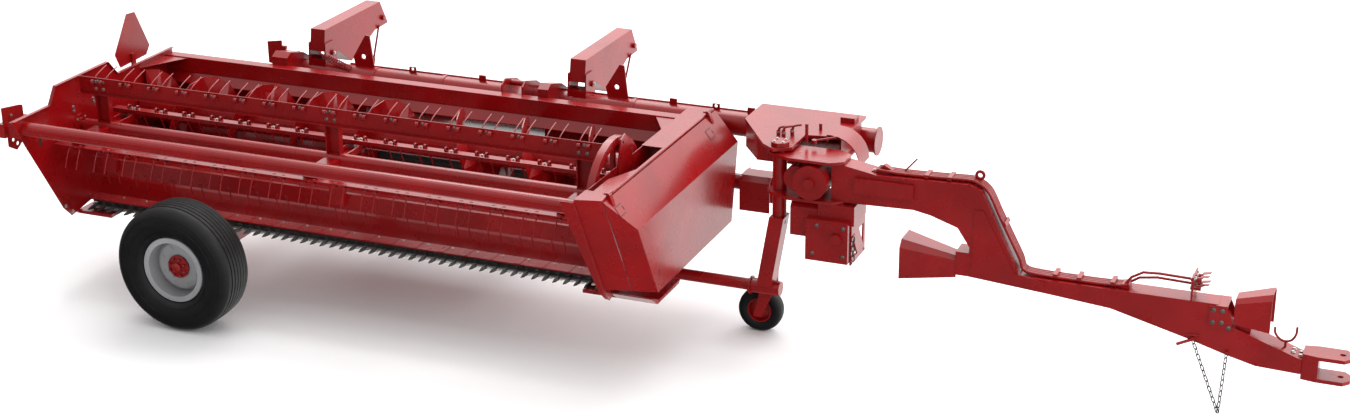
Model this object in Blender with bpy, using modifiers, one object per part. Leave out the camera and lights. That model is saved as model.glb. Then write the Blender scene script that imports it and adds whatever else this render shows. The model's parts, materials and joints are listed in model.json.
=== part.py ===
# Pull-type mower conditioner with a sickle cutter bar and reel, drawn endwise on its transport wheels.
# Metres, +Z up, +X the way it is towed, the cutter bar faces -Y. The ground is z = 0 and the origin
# is the middle of the machine's outline on the ground.
import math

import bmesh
import bpy
from mathutils import Matrix, Vector

# Clearances and small common sizes
GAP = 0.0003              # between two pieces that touch
OVERRUN = 0.02            # how far a cutter runs past a face
SHEET = 0.006             # pressed sheet
PLATE = 0.012             # bracket plate
HEAVY_PLATE = 0.020       # plate that carries load
PIN_CLEARANCE = 0.0010    # radial, a pin in its eye
RUNNING_GAP = 0.012       # between moving and fixed pieces
WELD = 0.0001             # merge distance

# Reach of the whole machine, which sets the origin
REAR_REACH = -0.34        # outer end of the left light bracket, x
HITCH_REACH = 8.62        # front of the hitch clevis, x

# Header, measured from its left guard tip on the cutter bar line
PANEL_LEFT_X = -0.075
HEADER_WIDTH = 4.175
PANEL_TIP_Y = -0.60
HEADER_BACK_Y = 1.27
HEADER_TOP_Z = 1.372
HEADER_LOW_Z = 0.507

# Reel
REEL_Y = 0.12
REEL_Z = 1.13
REEL_END_GAP = 0.05
REEL_TUBE_RADIUS = 0.045
SLAT_OUTER_RADIUS = 0.37
SLAT_HEIGHT = 0.12
SLAT_THICKNESS = 0.006
SLAT_LIP = 0.030
REEL_SPIDERS = 3
SPIDER_INSET = 0.17
SPIDER_ARM_WIDTH = 0.075
SPIDER_ARM_DEPTH = 0.045
TINE_BACK = 0.165
TINE_RISE = 0.055
TINE_WIRE = 0.007
TINE_LEG_SPACING = 0.090
TINE_PITCH = 0.230
TINE_INSET = 0.16

# Auger
AUGER_Y = 0.87
AUGER_Z = 1.04
AUGER_RADIUS = 0.27
AUGER_TUBE_RADIUS = 0.105
AUGER_PITCH = 0.50
FLIGHT_THICKNESS = 0.008

# Conditioner rolls
ROLL_RADIUS = 0.105
ROLL_ROOT_RADIUS = 0.080
ROLL_LENGTH = 1.42
ROLL_LUGS = 8
ROLL_Y = 1.42
LOWER_ROLL_Z = 0.66
ROLL_MESH_GAP = 0.006
ROLL_MID_X = 2.32

# Cutter bar
GUARD_PITCH = 0.0762
GUARD_COUNT = 54
GUARD_LENGTH = 0.125
GUARD_WIDTH = 0.030
GUARD_RADIUS = 0.020
CUTTER_BAR_DEPTH = 0.095
CUTTER_BAR_THICKNESS = 0.016
CUTTER_Z = 0.525

# Push bar
PUSH_BAR_Y = -0.48
PUSH_BAR_Z = 1.285
PUSH_BAR_RADIUS = 0.049

# Rear beam of the header
REAR_BEAM_TOP_Z = 1.335
REAR_BEAM_DEPTH = 0.085
REAR_BEAM_HEIGHT = 0.115

# Drive shield on the right end
SHIELD_INNER_X = PANEL_LEFT_X + HEADER_WIDTH + SHEET / 2 + GAP
SHIELD_TOP_WIDTH = 0.165
SHIELD_FULL_WIDTH = 0.335
SHIELD_TOP_Z = 1.385
SHIELD_BEND_Z = 1.157
SHIELD_LOW_Z = 0.615
SHIELD_FRONT_Y = -0.60           # front plane at the inner top corner
SHIELD_FRONT_RAKE_SHARE = -0.565  # y gained for each unit up
SHIELD_FRONT_SKEW_SHARE = 0.24    # y gained for each unit outwards
SHIELD_REAR_Y = 1.25
SHIELD_REAR_RAKE_SHARE = 0.22
SHIELD_REAR_SKEW_SHARE = 0.45

# Carrier tube and pivot frame
TUBE_Y = 1.50
TUBE_Z = 1.23
TUBE_RADIUS = 0.084
TUBE_LEFT_X = 0.70
TUBE_RIGHT_X = 5.395
TUBE_END_PLATE_RADIUS = 0.100
PIVOT_X = 4.955
PIVOT_Y = 0.75
PIVOT_RADIUS = 0.047
PIVOT_TOP_Z = 1.415
PIVOT_LOW_Z = 0.86
PIVOT_FRAME_TOP_Z = 1.400
PIVOT_FRAME_HEIGHT = 0.20
PIVOT_FRAME_LEFT_X = 4.56

# Leg, link and foot
LEG_WIDTH = 0.10
LEG_DEPTH = 0.13
LEG_LEAN = -0.085
LINK_Z = 0.385
LINK_RADIUS = 0.040
LINK_LEFT_X = 3.97
LINK_SLEEVE_RADIUS = 0.050
LINK_SLEEVE_LENGTH = 0.20

# Small support wheel
SMALL_WHEEL_X = 4.78
SMALL_WHEEL_Y = 0.90
SMALL_WHEEL_RADIUS = 0.155
SMALL_WHEEL_WIDTH = 0.105

# Transport axle and wheels
AXLE_X = 1.09
WHEEL_RADIUS = 0.446
TYRE_WIDTH = 0.315
RIM_RADIUS = 0.232
FRONT_WHEEL_Y = -0.44
REAR_WHEEL_Y = 1.99
AXLE_BEAM_WIDTH = 0.10
AXLE_BEAM_HEIGHT = 0.086
AXLE_CLEARANCE = 0.024     # under the cutter bar
AXLE_END_PLATE = 0.012
AXLE_BEAM_TOP_Z = CUTTER_Z - GUARD_RADIUS - AXLE_CLEARANCE

# Lift arms
ARM_WIDTH = 0.12
ARM_FRONT_Y = 1.46
ARM_REAR_Y = 2.36
ARM_HEEL = 0.05
ARM_LOW_Z = 1.405
ARM_FRONT_HEIGHT = 0.135
ARM_REAR_HEIGHT = 0.190
ARM_X = (1.075, 3.185)

# Tongue
TONGUE_WIDTH = 0.15
HEAD_PLATE_WIDTH = 0.26
HEAD_TOP_Z = 1.355
HEAD_LOW_Z = 1.085
HEAD_REACH = 0.42
TONGUE_FRONT_X = 8.33
NECK_X = 6.25

# Hitch
CLEVIS_WIDTH = 0.17
CLEVIS_PLATE = 0.025
CLEVIS_HOLE_RADIUS = 0.017

MIDDLE_X = (REAR_REACH + HITCH_REACH) / 2
MIDDLE_Y = (PANEL_TIP_Y + ARM_REAR_Y + ARM_HEEL) / 2
PANEL_RIGHT_X = PANEL_LEFT_X + HEADER_WIDTH

PARTS_NAME = "mower_conditioner"

AXIS_TURNS = {
    "X": Matrix(((0, 0, 1), (1, 0, 0), (0, 1, 0))),
    "Y": Matrix(((1, 0, 0), (0, 0, -1), (0, 1, 0))),
    "Z": Matrix.Identity(3),
}


def clear_scene():
    for old in list(bpy.data.objects):
        bpy.data.objects.remove(old, do_unlink=True)
    for old in list(bpy.data.collections):
        bpy.data.collections.remove(old)


clear_scene()
PARTS = bpy.data.collections.new(PARTS_NAME)
bpy.context.scene.collection.children.link(PARTS)


def material(name, color, roughness, metallic):
    made = bpy.data.materials.new(name)
    made.use_nodes = True
    shader = made.node_tree.nodes["Principled BSDF"]
    shader.inputs["Base Color"].default_value = (*color, 1.0)
    shader.inputs["Roughness"].default_value = roughness
    shader.inputs["Metallic"].default_value = metallic
    return made


RED = material("red_paint", (0.45, 0.008, 0.012), 0.35, 0.0)
DARK_STEEL = material("dark_steel", (0.05, 0.05, 0.055), 0.5, 0.8)
SILVER = material("silver_paint", (0.55, 0.55, 0.56), 0.4, 0.3)
TYRE_RUBBER = material("tyre_rubber", (0.015, 0.015, 0.015), 0.8, 0.0)
ROLL_RUBBER = material("roll_rubber", (0.02, 0.02, 0.02), 0.7, 0.0)
PLATED = material("plated_steel", (0.5, 0.5, 0.5), 0.35, 0.9)


def link(obj, mat=None):
    PARTS.objects.link(obj)
    if mat:
        obj.data.materials.clear()
        obj.data.materials.append(mat)
    return obj


def evaluated_mesh(obj):
    bpy.context.view_layer.update()
    depsgraph = bpy.context.evaluated_depsgraph_get()
    return bpy.data.meshes.new_from_object(obj.evaluated_get(depsgraph))


def settle(obj):
    # Fixes the object's modifiers into its mesh, welds it and turns its faces outwards.
    mesh = evaluated_mesh(obj)
    shape = bmesh.new()
    shape.from_mesh(mesh)
    bmesh.ops.remove_doubles(shape, verts=shape.verts, dist=WELD / 2)
    bmesh.ops.recalc_face_normals(shape, faces=shape.faces)
    shape.to_mesh(mesh)
    shape.free()
    if obj.type == "MESH":
        obj.modifiers.clear()
        obj.data = mesh
        return obj
    made = bpy.data.objects.new(obj.name, mesh)
    made.matrix_world = obj.matrix_world
    name = obj.name
    bpy.data.objects.remove(obj, do_unlink=True)
    made.name = name
    PARTS.objects.link(made)
    return made


def box(name, mat, low, high):
    # A plain block between two corners.
    mesh = bpy.data.meshes.new(name)
    shape = bmesh.new()
    bmesh.ops.create_cube(shape, size=1.0)
    size = [b - a for a, b in zip(low, high)]
    bmesh.ops.scale(shape, vec=size, verts=shape.verts)
    shape.to_mesh(mesh)
    shape.free()
    obj = bpy.data.objects.new(name, mesh)
    obj.location = [(a + b) / 2 for a, b in zip(low, high)]
    return link(obj, mat)


def rod(name, mat, start, end, radius, sides=16, end_radius=None):
    # A round bar, or a cone, between two points.
    mesh = bpy.data.meshes.new(name)
    run = Vector(end) - Vector(start)
    shape = bmesh.new()
    bmesh.ops.create_cone(shape, cap_ends=True, segments=sides, radius1=radius,
                          radius2=radius if end_radius is None else end_radius, depth=run.length)
    turn = run.to_track_quat("Z", "Y").to_matrix()
    bmesh.ops.rotate(shape, cent=(0, 0, 0), matrix=turn, verts=shape.verts)
    shape.to_mesh(mesh)
    shape.free()
    obj = bpy.data.objects.new(name, mesh)
    obj.location = (Vector(start) + Vector(end)) / 2
    return link(obj, mat)


def plate(name, mat, points, thickness, axis, middle):
    # A flat outline of given thickness, its middle plane at middle on the named axis.
    curve = bpy.data.curves.new(name, "CURVE")
    curve.dimensions = "2D"
    curve.fill_mode = "BOTH"
    curve.extrude = thickness / 2
    spline = curve.splines.new("POLY")
    spline.points.add(len(points) - 1)
    for spot, (u, v) in zip(spline.points, points):
        spot.co = (u, v, 0, 1)
    spline.use_cyclic_u = True
    obj = bpy.data.objects.new(name, curve)
    PARTS.objects.link(obj)
    turn = AXIS_TURNS[axis].to_4x4()
    place = {"X": (middle, 0, 0), "Y": (0, middle, 0), "Z": (0, 0, middle)}[axis]
    obj.matrix_world = Matrix.Translation(place) @ turn
    made = settle(obj)
    made.data.transform(turn)
    made.matrix_world = Matrix.Translation(place)
    made.data.materials.clear()
    made.data.materials.append(mat)
    return made


def pipe(name, mat, points, radius, resolution=2):
    # A round tube or rod that follows points.
    curve = bpy.data.curves.new(name, "CURVE")
    curve.dimensions = "3D"
    curve.bevel_depth = radius
    curve.bevel_resolution = resolution
    curve.use_fill_caps = True
    spline = curve.splines.new("POLY")
    spline.points.add(len(points) - 1)
    for spot, place in zip(spline.points, points):
        spot.co = (*place, 1)
    obj = bpy.data.objects.new(name, curve)
    PARTS.objects.link(obj)
    made = settle(obj)
    made.data.materials.clear()
    made.data.materials.append(mat)
    return made


def turned(name, mat, profile, centre, axis, steps):
    # Turns a closed profile of (radius, along) points round the named axis.
    mesh = bpy.data.meshes.new(name)
    count = len(profile)
    edges = [(i, (i + 1) % count) for i in range(count)]
    mesh.from_pydata([(r, 0, t) for r, t in profile], edges, [])
    obj = bpy.data.objects.new(name, mesh)
    link(obj)
    screw = obj.modifiers.new("turn", "SCREW")
    screw.steps = steps
    screw.render_steps = steps
    screw.use_merge_vertices = True
    screw.merge_threshold = WELD / 10
    obj = settle(obj)
    turn = {"X": Matrix.Rotation(math.pi / 2, 4, "Y"),
            "Y": Matrix.Rotation(-math.pi / 2, 4, "X"),
            "Z": Matrix.Identity(4)}[axis]
    obj.data.transform(turn)
    obj.location = centre
    obj.data.materials.append(mat)
    return obj


def combine(obj, other, operation):
    boolean = obj.modifiers.new("combine", "BOOLEAN")
    boolean.operation = operation
    boolean.solver = "EXACT"
    boolean.object = other
    obj = settle(obj)
    bpy.data.objects.remove(other, do_unlink=True)
    return obj


def cut(obj, *cutters):
    for cutter in cutters:
        obj = combine(obj, cutter, "DIFFERENCE")
    return obj


def fuse(obj, *others):
    for other in others:
        obj = combine(obj, other, "UNION")
    return obj


def gather(name, pieces):
    # Puts pieces that don't touch into one mesh, to fuse them in one step.
    shape = bmesh.new()
    for piece in pieces:
        mesh = piece.data.copy()
        mesh.transform(piece.matrix_basis)
        shape.from_mesh(mesh)
    mesh = bpy.data.meshes.new(name)
    shape.to_mesh(mesh)
    shape.free()
    mat = pieces[0].data.materials[0]
    for piece in pieces:
        bpy.data.objects.remove(piece, do_unlink=True)
    obj = bpy.data.objects.new(name, mesh)
    return link(obj, mat)


def round_off(obj):
    obj.data.shade_smooth()
    obj.data.set_sharp_from_angle(angle=math.radians(35))
    return obj


# Header

def panel_outline():
    top = HEADER_TOP_Z
    low = HEADER_LOW_Z
    depth = HEADER_BACK_Y - PANEL_TIP_Y
    height = top - low
    outline_shares = (
        # along the header, up the header
        (0.000, 1.000), (0.210, 1.000), (0.251, 1.134), (0.575, 1.134), (0.628, 1.000),
        (1.000, 1.000), (1.000, 0.340), (0.880, 0.165), (0.390, 0.046), (0.272, 0.000),
        (0.229, 0.098), (0.056, 0.760),
    )
    return [(PANEL_TIP_Y + u * depth, low + v * height) for u, v in outline_shares]


def header_panels():
    left = plate("header_left_panel", RED, panel_outline(), SHEET, "X", PANEL_LEFT_X)
    right = plate("header_right_panel", RED, panel_outline(), SHEET, "X", PANEL_RIGHT_X)
    made = []
    for panel, x in ((left, PANEL_LEFT_X), (right, PANEL_RIGHT_X)):
        for y, z, radius in ((REEL_Y, REEL_Z, REEL_TUBE_RADIUS / 2),
                             (AUGER_Y, AUGER_Z, AUGER_TUBE_RADIUS / 3)):
            hole = rod("hole", RED, (x - OVERRUN, y, z), (x + OVERRUN, y, z), radius + PIN_CLEARANCE)
            panel = cut(panel, hole)
        made.append(panel)
    return made


INNER_LEFT = PANEL_LEFT_X + SHEET / 2 + GAP
INNER_RIGHT = PANEL_RIGHT_X - SHEET / 2 - GAP
PAN_SHEET = 0.008
PAN_SHARES = (
    # across the pan from lip to rear, up from lip to trough rim
    (0.000, 0.000), (0.105, 0.000), (0.190, 0.300), (0.330, 0.660), (0.480, 0.640), (0.620, 0.560),
    (0.800, 0.560), (0.930, 0.700), (1.000, 1.000),
)
PAN_LIP_Y = 0.115
PAN_BACK_Y = 1.215
PAN_LIP_Z = 0.568
PAN_RIM_Z = 0.870


def floor_pan():
    depth = PAN_BACK_Y - PAN_LIP_Y
    rise = PAN_RIM_Z - PAN_LIP_Z
    above = [(PAN_LIP_Y + u * depth, PAN_LIP_Z + v * rise) for u, v in PAN_SHARES]
    below = [(y, z - PAN_SHEET) for y, z in reversed(above)]
    middle = (INNER_LEFT + INNER_RIGHT) / 2
    pan = plate("floor_pan", RED, above + below, INNER_RIGHT - INNER_LEFT, "X", middle)
    mouth = box("mouth", RED,
                (ROLL_MID_X - ROLL_LENGTH / 2, PAN_LIP_Y + depth * 0.80, PAN_LIP_Z),
                (ROLL_MID_X + ROLL_LENGTH / 2, PAN_BACK_Y + OVERRUN, PAN_RIM_Z + OVERRUN))
    return cut(pan, mouth)


def cutter_bar():
    width = GUARD_PITCH * GUARD_COUNT
    start = (PANEL_LEFT_X + PANEL_RIGHT_X - width) / 2
    back = GUARD_LENGTH
    top = PAN_LIP_Z - PAN_SHEET - GAP
    bar = box("cutter_bar", DARK_STEEL, (start, back, top - CUTTER_BAR_THICKNESS),
              (start + width, back + CUTTER_BAR_DEPTH, top))
    guards = []
    for index in range(GUARD_COUNT):
        x = start + GUARD_PITCH * (index + 0.5)
        root = back + GUARD_LENGTH / 4
        guards.append(rod("guard", DARK_STEEL, (x, root, CUTTER_Z), (x, 0, CUTTER_Z),
                          GUARD_RADIUS, sides=4, end_radius=GUARD_WIDTH / 8))
    return fuse(bar, gather("guards", guards))


def push_bar():
    return rod("push_bar", RED, (INNER_LEFT, PUSH_BAR_Y, PUSH_BAR_Z),
               (INNER_RIGHT, PUSH_BAR_Y, PUSH_BAR_Z), PUSH_BAR_RADIUS, sides=20)


def rear_beam():
    front = HEADER_BACK_Y - REAR_BEAM_DEPTH - SHEET
    beam = box("rear_beam", RED, (INNER_LEFT, front, REAR_BEAM_TOP_Z - REAR_BEAM_HEIGHT),
               (INNER_RIGHT, HEADER_BACK_Y - SHEET, REAR_BEAM_TOP_Z))
    low = REAR_BEAM_TOP_Z - REAR_BEAM_HEIGHT
    skirt_drop = 0.065
    skirt_reach = 0.05
    skirt = [(front + SHEET * 2, low + SHEET), (front - skirt_reach, low - skirt_drop),
             (front - skirt_reach, low - skirt_drop - SHEET), (front + SHEET * 2, low - SHEET)]
    middle = (INNER_LEFT + INNER_RIGHT) / 2
    band = plate("band", RED, skirt, INNER_RIGHT - INNER_LEFT, "X", middle)
    return fuse(beam, band)


def rear_walls():
    # Sheets that close the header's back either side of the conditioner.
    made = []
    rows = (
        # name, from x, to x
        ("rear_wall_left", INNER_LEFT, ROLL_MID_X - ROLL_LENGTH / 2 - SHEET * 2),
        ("rear_wall_right", ROLL_MID_X + ROLL_LENGTH / 2 + SHEET * 2, INNER_RIGHT),
    )
    for name, left, right in rows:
        made.append(box(name, RED, (left, PAN_BACK_Y + GAP, PAN_RIM_Z - PAN_SHEET),
                        (right, PAN_BACK_Y + GAP + SHEET, REAR_BEAM_TOP_Z - REAR_BEAM_HEIGHT - GAP)))
    return made


SHIELD_SHEET = 0.005
COVER_STANDOFF = 0.006


def shield_end(front, x, z):
    # The front and rear ends are flat planes, raked and skewed.
    if front:
        rise, skew, start = SHIELD_FRONT_RAKE_SHARE, SHIELD_FRONT_SKEW_SHARE, SHIELD_FRONT_Y
    else:
        rise, skew, start = SHIELD_REAR_RAKE_SHARE, SHIELD_REAR_SKEW_SHARE, SHIELD_REAR_Y
    return start + rise * (z - SHIELD_TOP_Z) + skew * (x - SHIELD_INNER_X)


def shield_ring(front, wall):
    # The drive shield's cross section at its front or rear end, for its outside or its hollow.
    left = SHIELD_INNER_X - (OVERRUN if wall else 0)
    mid = SHIELD_INNER_X + SHIELD_TOP_WIDTH - wall / 2
    out = SHIELD_INNER_X + SHIELD_FULL_WIDTH - wall
    low = SHIELD_LOW_Z - (OVERRUN if wall else 0)
    top = SHIELD_TOP_Z - wall
    bend = SHIELD_BEND_Z - wall / 2
    step = wall * 1.2 if front else -wall * 1.2
    return [(x, shield_end(front, x, z) + step, z)
            for x, z in ((left, top), (mid, top), (out, bend), (out, low), (left, low))]


def loft(name, mat, rings):
    # A closed solid through rings of the same number of points.
    mesh = bpy.data.meshes.new(name)
    shape = bmesh.new()
    rows = [[shape.verts.new(spot) for spot in ring] for ring in rings]
    count = len(rings[0])
    for a, b in zip(rows, rows[1:]):
        for i in range(count):
            j = (i + 1) % count
            shape.faces.new((a[i], a[j], b[j], b[i]))
    shape.faces.new(rows[0])
    shape.faces.new(rows[-1])
    bmesh.ops.triangulate(shape, faces=shape.faces)
    bmesh.ops.recalc_face_normals(shape, faces=shape.faces)
    shape.to_mesh(mesh)
    shape.free()
    return link(bpy.data.objects.new(name, mesh), mat)


def shield_shell(name):
    shell = loft(name, RED, [shield_ring(True, 0), shield_ring(False, 0)])
    hollow = loft("hollow", RED, [shield_ring(True, SHIELD_SHEET), shield_ring(False, SHIELD_SHEET)])
    return cut(shell, hollow)


def shield_side(name, left, right):
    # A block that takes away the shield's shell between two places across it.
    return box(name, RED, (left, SHIELD_FRONT_Y - OVERRUN, SHIELD_LOW_Z - OVERRUN),
               (right, SHIELD_REAR_Y + SHIELD_FULL_WIDTH, SHIELD_TOP_Z + OVERRUN))


COVER_EDGE_X = SHIELD_INNER_X + SHIELD_TOP_WIDTH + SHIELD_SHEET


HINGE_PIN_RADIUS = 0.006
HINGE_BARREL_RADIUS = 0.011
HINGE_LENGTH = 0.070
HINGE_LEAF = 0.040
HINGE_LEAF_SHEET = 0.004
HINGE_LIFT = 0.0116              # the pin's height over the sheet, clear of the barrels
HINGE_SHARES = (0.06, 0.94)      # places along the seam
HINGE_X = COVER_EDGE_X + COVER_STANDOFF / 2
HINGE_Z = SHIELD_TOP_Z + HINGE_LIFT


def hinge_places():
    front = shield_end(True, HINGE_X, SHIELD_TOP_Z)
    back = shield_end(False, HINGE_X, SHIELD_TOP_Z)
    return [front + (back - front) * share for share in HINGE_SHARES]


def drive_shield():
    # The fixed part: the top, both ends and the pins that the cover turns on. The outer side is the cover.
    shell = shield_shell("drive_shield")
    shell = cut(shell, shield_side("side", COVER_EDGE_X, SHIELD_INNER_X + SHIELD_FULL_WIDTH + OVERRUN))
    for y in hinge_places():
        leaf = box("leaf", RED, (HINGE_X - HINGE_LEAF, y, SHIELD_TOP_Z - SHIELD_SHEET / 2),
                   (HINGE_X, y + HINGE_LENGTH / 2 - GAP, HINGE_Z - HINGE_BARREL_RADIUS / 2))
        barrel = rod("barrel", RED, (HINGE_X, y, HINGE_Z), (HINGE_X, y + HINGE_LENGTH / 2, HINGE_Z),
                     HINGE_BARREL_RADIUS, sides=12)
        pin = rod("pin", RED, (HINGE_X, y - HINGE_LENGTH / 2, HINGE_Z), (HINGE_X, y + HINGE_LENGTH / 4, HINGE_Z),
                  HINGE_PIN_RADIUS, sides=12)
        shell = fuse(shell, fuse(leaf, barrel, pin))
    return shell


def shield_cover():
    # The outer side, which swings up on the two pins at the top of the shield.
    shell = shield_shell("shield_cover")
    shell = cut(shell, shield_side("side", SHIELD_INNER_X - OVERRUN, COVER_EDGE_X + COVER_STANDOFF))
    fall = (SHIELD_TOP_Z - SHIELD_BEND_Z) / (SHIELD_FULL_WIDTH - SHIELD_TOP_WIDTH)
    edge = SHIELD_INNER_X + SHIELD_TOP_WIDTH
    for y in hinge_places():
        start, stop = y - HINGE_LENGTH / 2, y - GAP
        leaf_end = HINGE_X + HINGE_LEAF
        drop = fall * (leaf_end - edge)
        near = HINGE_X + HINGE_BARREL_RADIUS / 3
        near_drop = fall * (near - edge)
        outline = [(near, HINGE_Z + HINGE_LEAF_SHEET), (near + HINGE_BARREL_RADIUS, HINGE_Z),
                   (leaf_end, SHIELD_TOP_Z - drop + HINGE_LEAF_SHEET),
                   (leaf_end, SHIELD_TOP_Z - drop - SHIELD_SHEET / 2),
                   (near, SHIELD_TOP_Z - near_drop - SHIELD_SHEET / 2)]
        leaf = plate("leaf", RED, outline, stop - start - 2 * GAP, "Y", (start + stop) / 2)
        barrel = rod("barrel", RED, (HINGE_X, start, HINGE_Z), (HINGE_X, stop, HINGE_Z),
                     HINGE_BARREL_RADIUS, sides=12)
        bore = rod("bore", RED, (HINGE_X, start - OVERRUN, HINGE_Z), (HINGE_X, stop + OVERRUN, HINGE_Z),
                   HINGE_PIN_RADIUS + GAP, sides=12)
        shell = fuse(shell, cut(fuse(leaf, barrel), bore))
    return shell


SIGN_STANDOFF = 0.018
SIGN_SHEET = 0.003


def rear_sign():
    # Blank warning plate that faces the rear in transport, on a stalk on the left end panel.
    outline = [(0.79, 1.75), (0.89, 1.74), (1.03, 1.45), (0.98, 1.39), (0.66, 1.38), (0.61, 1.49)]
    x = PANEL_LEFT_X - SHEET / 2 - SIGN_STANDOFF
    sign = plate("rear_sign", RED, outline, SIGN_SHEET, "X", x)
    stalk = box("stalk", RED, (x, 0.79, 1.22), (PANEL_LEFT_X - SHEET / 2 - GAP, 0.83, 1.45))
    return fuse(sign, stalk)


def light_bracket():
    # Folding arm with a blank lamp plate, outside the left end panel.
    inner = PANEL_LEFT_X - SHEET / 2 - GAP
    arm = box("light_bracket", RED, (REAR_REACH + SHEET / 2, -0.43, 1.18), (inner, -0.37, 1.26))
    face = [(-0.43, 1.39), (-0.21, 1.35), (-0.19, 1.17), (-0.30, 1.07), (-0.43, 1.17)]
    lamp = plate("lamp", RED, face, SHEET, "X", REAR_REACH + SHEET / 2)
    return fuse(arm, lamp)


SHOE_WIDTH = 0.26
SHOE_DROP = 0.055


def skid_shoes():
    made = []
    rows = (
        # name, left edge
        ("skid_shoe_left", PANEL_LEFT_X + SHEET),
        ("skid_shoe_right", PANEL_RIGHT_X - SHEET - SHOE_WIDTH),
    )
    top = CUTTER_Z - GAP - GUARD_RADIUS
    for name, left in rows:
        profile = [(0.07, top), (0.33, top), (0.36, top - SHOE_DROP), (0.14, top - SHOE_DROP)]
        made.append(plate(name, DARK_STEEL, profile, SHOE_WIDTH, "X", left + SHOE_WIDTH / 2))
    return made


# Reel, auger and rolls

REEL_LEFT = PANEL_LEFT_X + REEL_END_GAP
REEL_RIGHT = PANEL_RIGHT_X - REEL_END_GAP


def spider_places():
    first = REEL_LEFT + SPIDER_INSET
    last = REEL_RIGHT - SPIDER_INSET
    return [first + (last - first) * i / (REEL_SPIDERS - 1) for i in range(REEL_SPIDERS)]


def reel_core():
    inner = SLAT_OUTER_RADIUS - SLAT_HEIGHT
    tube = rod("reel_spiders", RED, (REEL_LEFT, REEL_Y, REEL_Z), (REEL_RIGHT, REEL_Y, REEL_Z),
               REEL_TUBE_RADIUS, sides=16)
    stub = REEL_TUBE_RADIUS / 2
    shaft = rod("shaft", RED, (PANEL_LEFT_X - SHEET * 2, REEL_Y, REEL_Z),
                (PANEL_RIGHT_X + SHEET * 2, REEL_Y, REEL_Z), stub, sides=16)
    tube = fuse(tube, shaft)
    reach = inner + SLAT_HEIGHT * 0.7
    for x in spider_places():
        across = SPIDER_ARM_WIDTH / 2
        deep = SPIDER_ARM_DEPTH / 2
        upright = box("arm", RED, (x - across, REEL_Y - deep, REEL_Z - reach),
                      (x + across, REEL_Y + deep, REEL_Z + reach))
        level = box("arm", RED, (x - across, REEL_Y - reach, REEL_Z - deep),
                    (x + across, REEL_Y + reach, REEL_Z + deep))
        tube = fuse(tube, fuse(upright, level))
    return tube


BAT_ROWS = (
    # name, quarter turns from the top
    ("reel_bat_top", 0), ("reel_bat_back", 1), ("reel_bat_bottom", 2), ("reel_bat_front", 3),
)


def reel_bats():
    made = []
    inner = SLAT_OUTER_RADIUS - SLAT_HEIGHT
    face = SPIDER_ARM_DEPTH / 2 + GAP
    for name, turns in BAT_ROWS:
        slat = box(name, RED, (REEL_LEFT, -face - SLAT_THICKNESS, inner),
                   (REEL_RIGHT, -face, SLAT_OUTER_RADIUS))
        lip = box("lip", RED, (REEL_LEFT, -face - SLAT_LIP, inner),
                  (REEL_RIGHT, -face - SLAT_THICKNESS / 2, inner + SLAT_THICKNESS))
        slat = fuse(slat, lip)
        span = REEL_RIGHT - REEL_LEFT - 2 * TINE_INSET
        count = int(span / TINE_PITCH) + 1
        pitch = span / (count - 1)
        legs = []
        for index in range(count):
            for side in (-0.5, 0.5):
                x = REEL_LEFT + TINE_INSET + pitch * index + side * TINE_LEG_SPACING
                root = (x, -face - SLAT_THICKNESS / 2, SLAT_OUTER_RADIUS - TINE_WIRE * 2)
                tip = (x, root[1] + TINE_BACK, SLAT_OUTER_RADIUS + TINE_RISE)
                legs.append(rod("tine", DARK_STEEL, root, tip, TINE_WIRE / 2, sides=4,
                                end_radius=TINE_WIRE / 3))
        slat = fuse(slat, gather("tines", legs))
        slat.data.transform(Matrix.Translation(slat.location))
        slat.location = (0, 0, 0)
        slat.data.transform(Matrix.Rotation(-turns * math.pi / 2, 4, "X"))
        slat.location = (0, REEL_Y, REEL_Z)
        made.append(slat)
    return made


def auger():
    left = PANEL_LEFT_X + REEL_END_GAP / 2
    right = PANEL_RIGHT_X - REEL_END_GAP / 2
    middle = ROLL_MID_X
    tube = rod("auger", RED, (left, AUGER_Y, AUGER_Z), (right, AUGER_Y, AUGER_Z),
               AUGER_TUBE_RADIUS, sides=24)
    stub = rod("stub", RED, (PANEL_LEFT_X - SHEET * 2, AUGER_Y, AUGER_Z),
               (PANEL_RIGHT_X + SHEET * 2, AUGER_Y, AUGER_Z), AUGER_TUBE_RADIUS / 3, sides=16)
    tube = fuse(tube, stub)
    root = AUGER_TUBE_RADIUS - SHEET
    rows = (
        # outer end, hand, turns
        (left + SHEET, 1, (middle - left - AUGER_PITCH / 3) / AUGER_PITCH),
        (right - SHEET, -1, (right - middle - AUGER_PITCH / 3) / AUGER_PITCH),
    )
    steps = 14
    for outer, hand, turns in rows:
        mesh = bpy.data.meshes.new("flight")
        half = FLIGHT_THICKNESS / 2
        rings = []
        total = int(steps * turns)
        for index in range(total + 1):
            angle = 2 * math.pi * index / steps
            along = outer + hand * (FLIGHT_THICKNESS + AUGER_PITCH * index / steps)
            ring = []
            for radius, shift in ((root, -half), (AUGER_RADIUS, -half), (AUGER_RADIUS, half), (root, half)):
                ring.append((along + shift, AUGER_Y + radius * math.sin(angle),
                             AUGER_Z + radius * math.cos(angle)))
            rings.append(ring)
        bpy.data.meshes.remove(mesh)
        flight = loft("flight", RED, rings)
        tube = fuse(tube, flight)
    return tube


def lugged_outline(turn):
    points = []
    crest_share = 0.22
    for index in range(ROLL_LUGS):
        base = 2 * math.pi * (index + turn) / ROLL_LUGS
        step = 2 * math.pi / ROLL_LUGS
        for share, radius in ((-0.32, ROLL_ROOT_RADIUS), (-crest_share / 2, ROLL_RADIUS),
                              (crest_share / 2, ROLL_RADIUS), (0.32, ROLL_ROOT_RADIUS)):
            angle = base + share * step
            points.append((radius * math.sin(angle), radius * math.cos(angle)))
    return points


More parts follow.
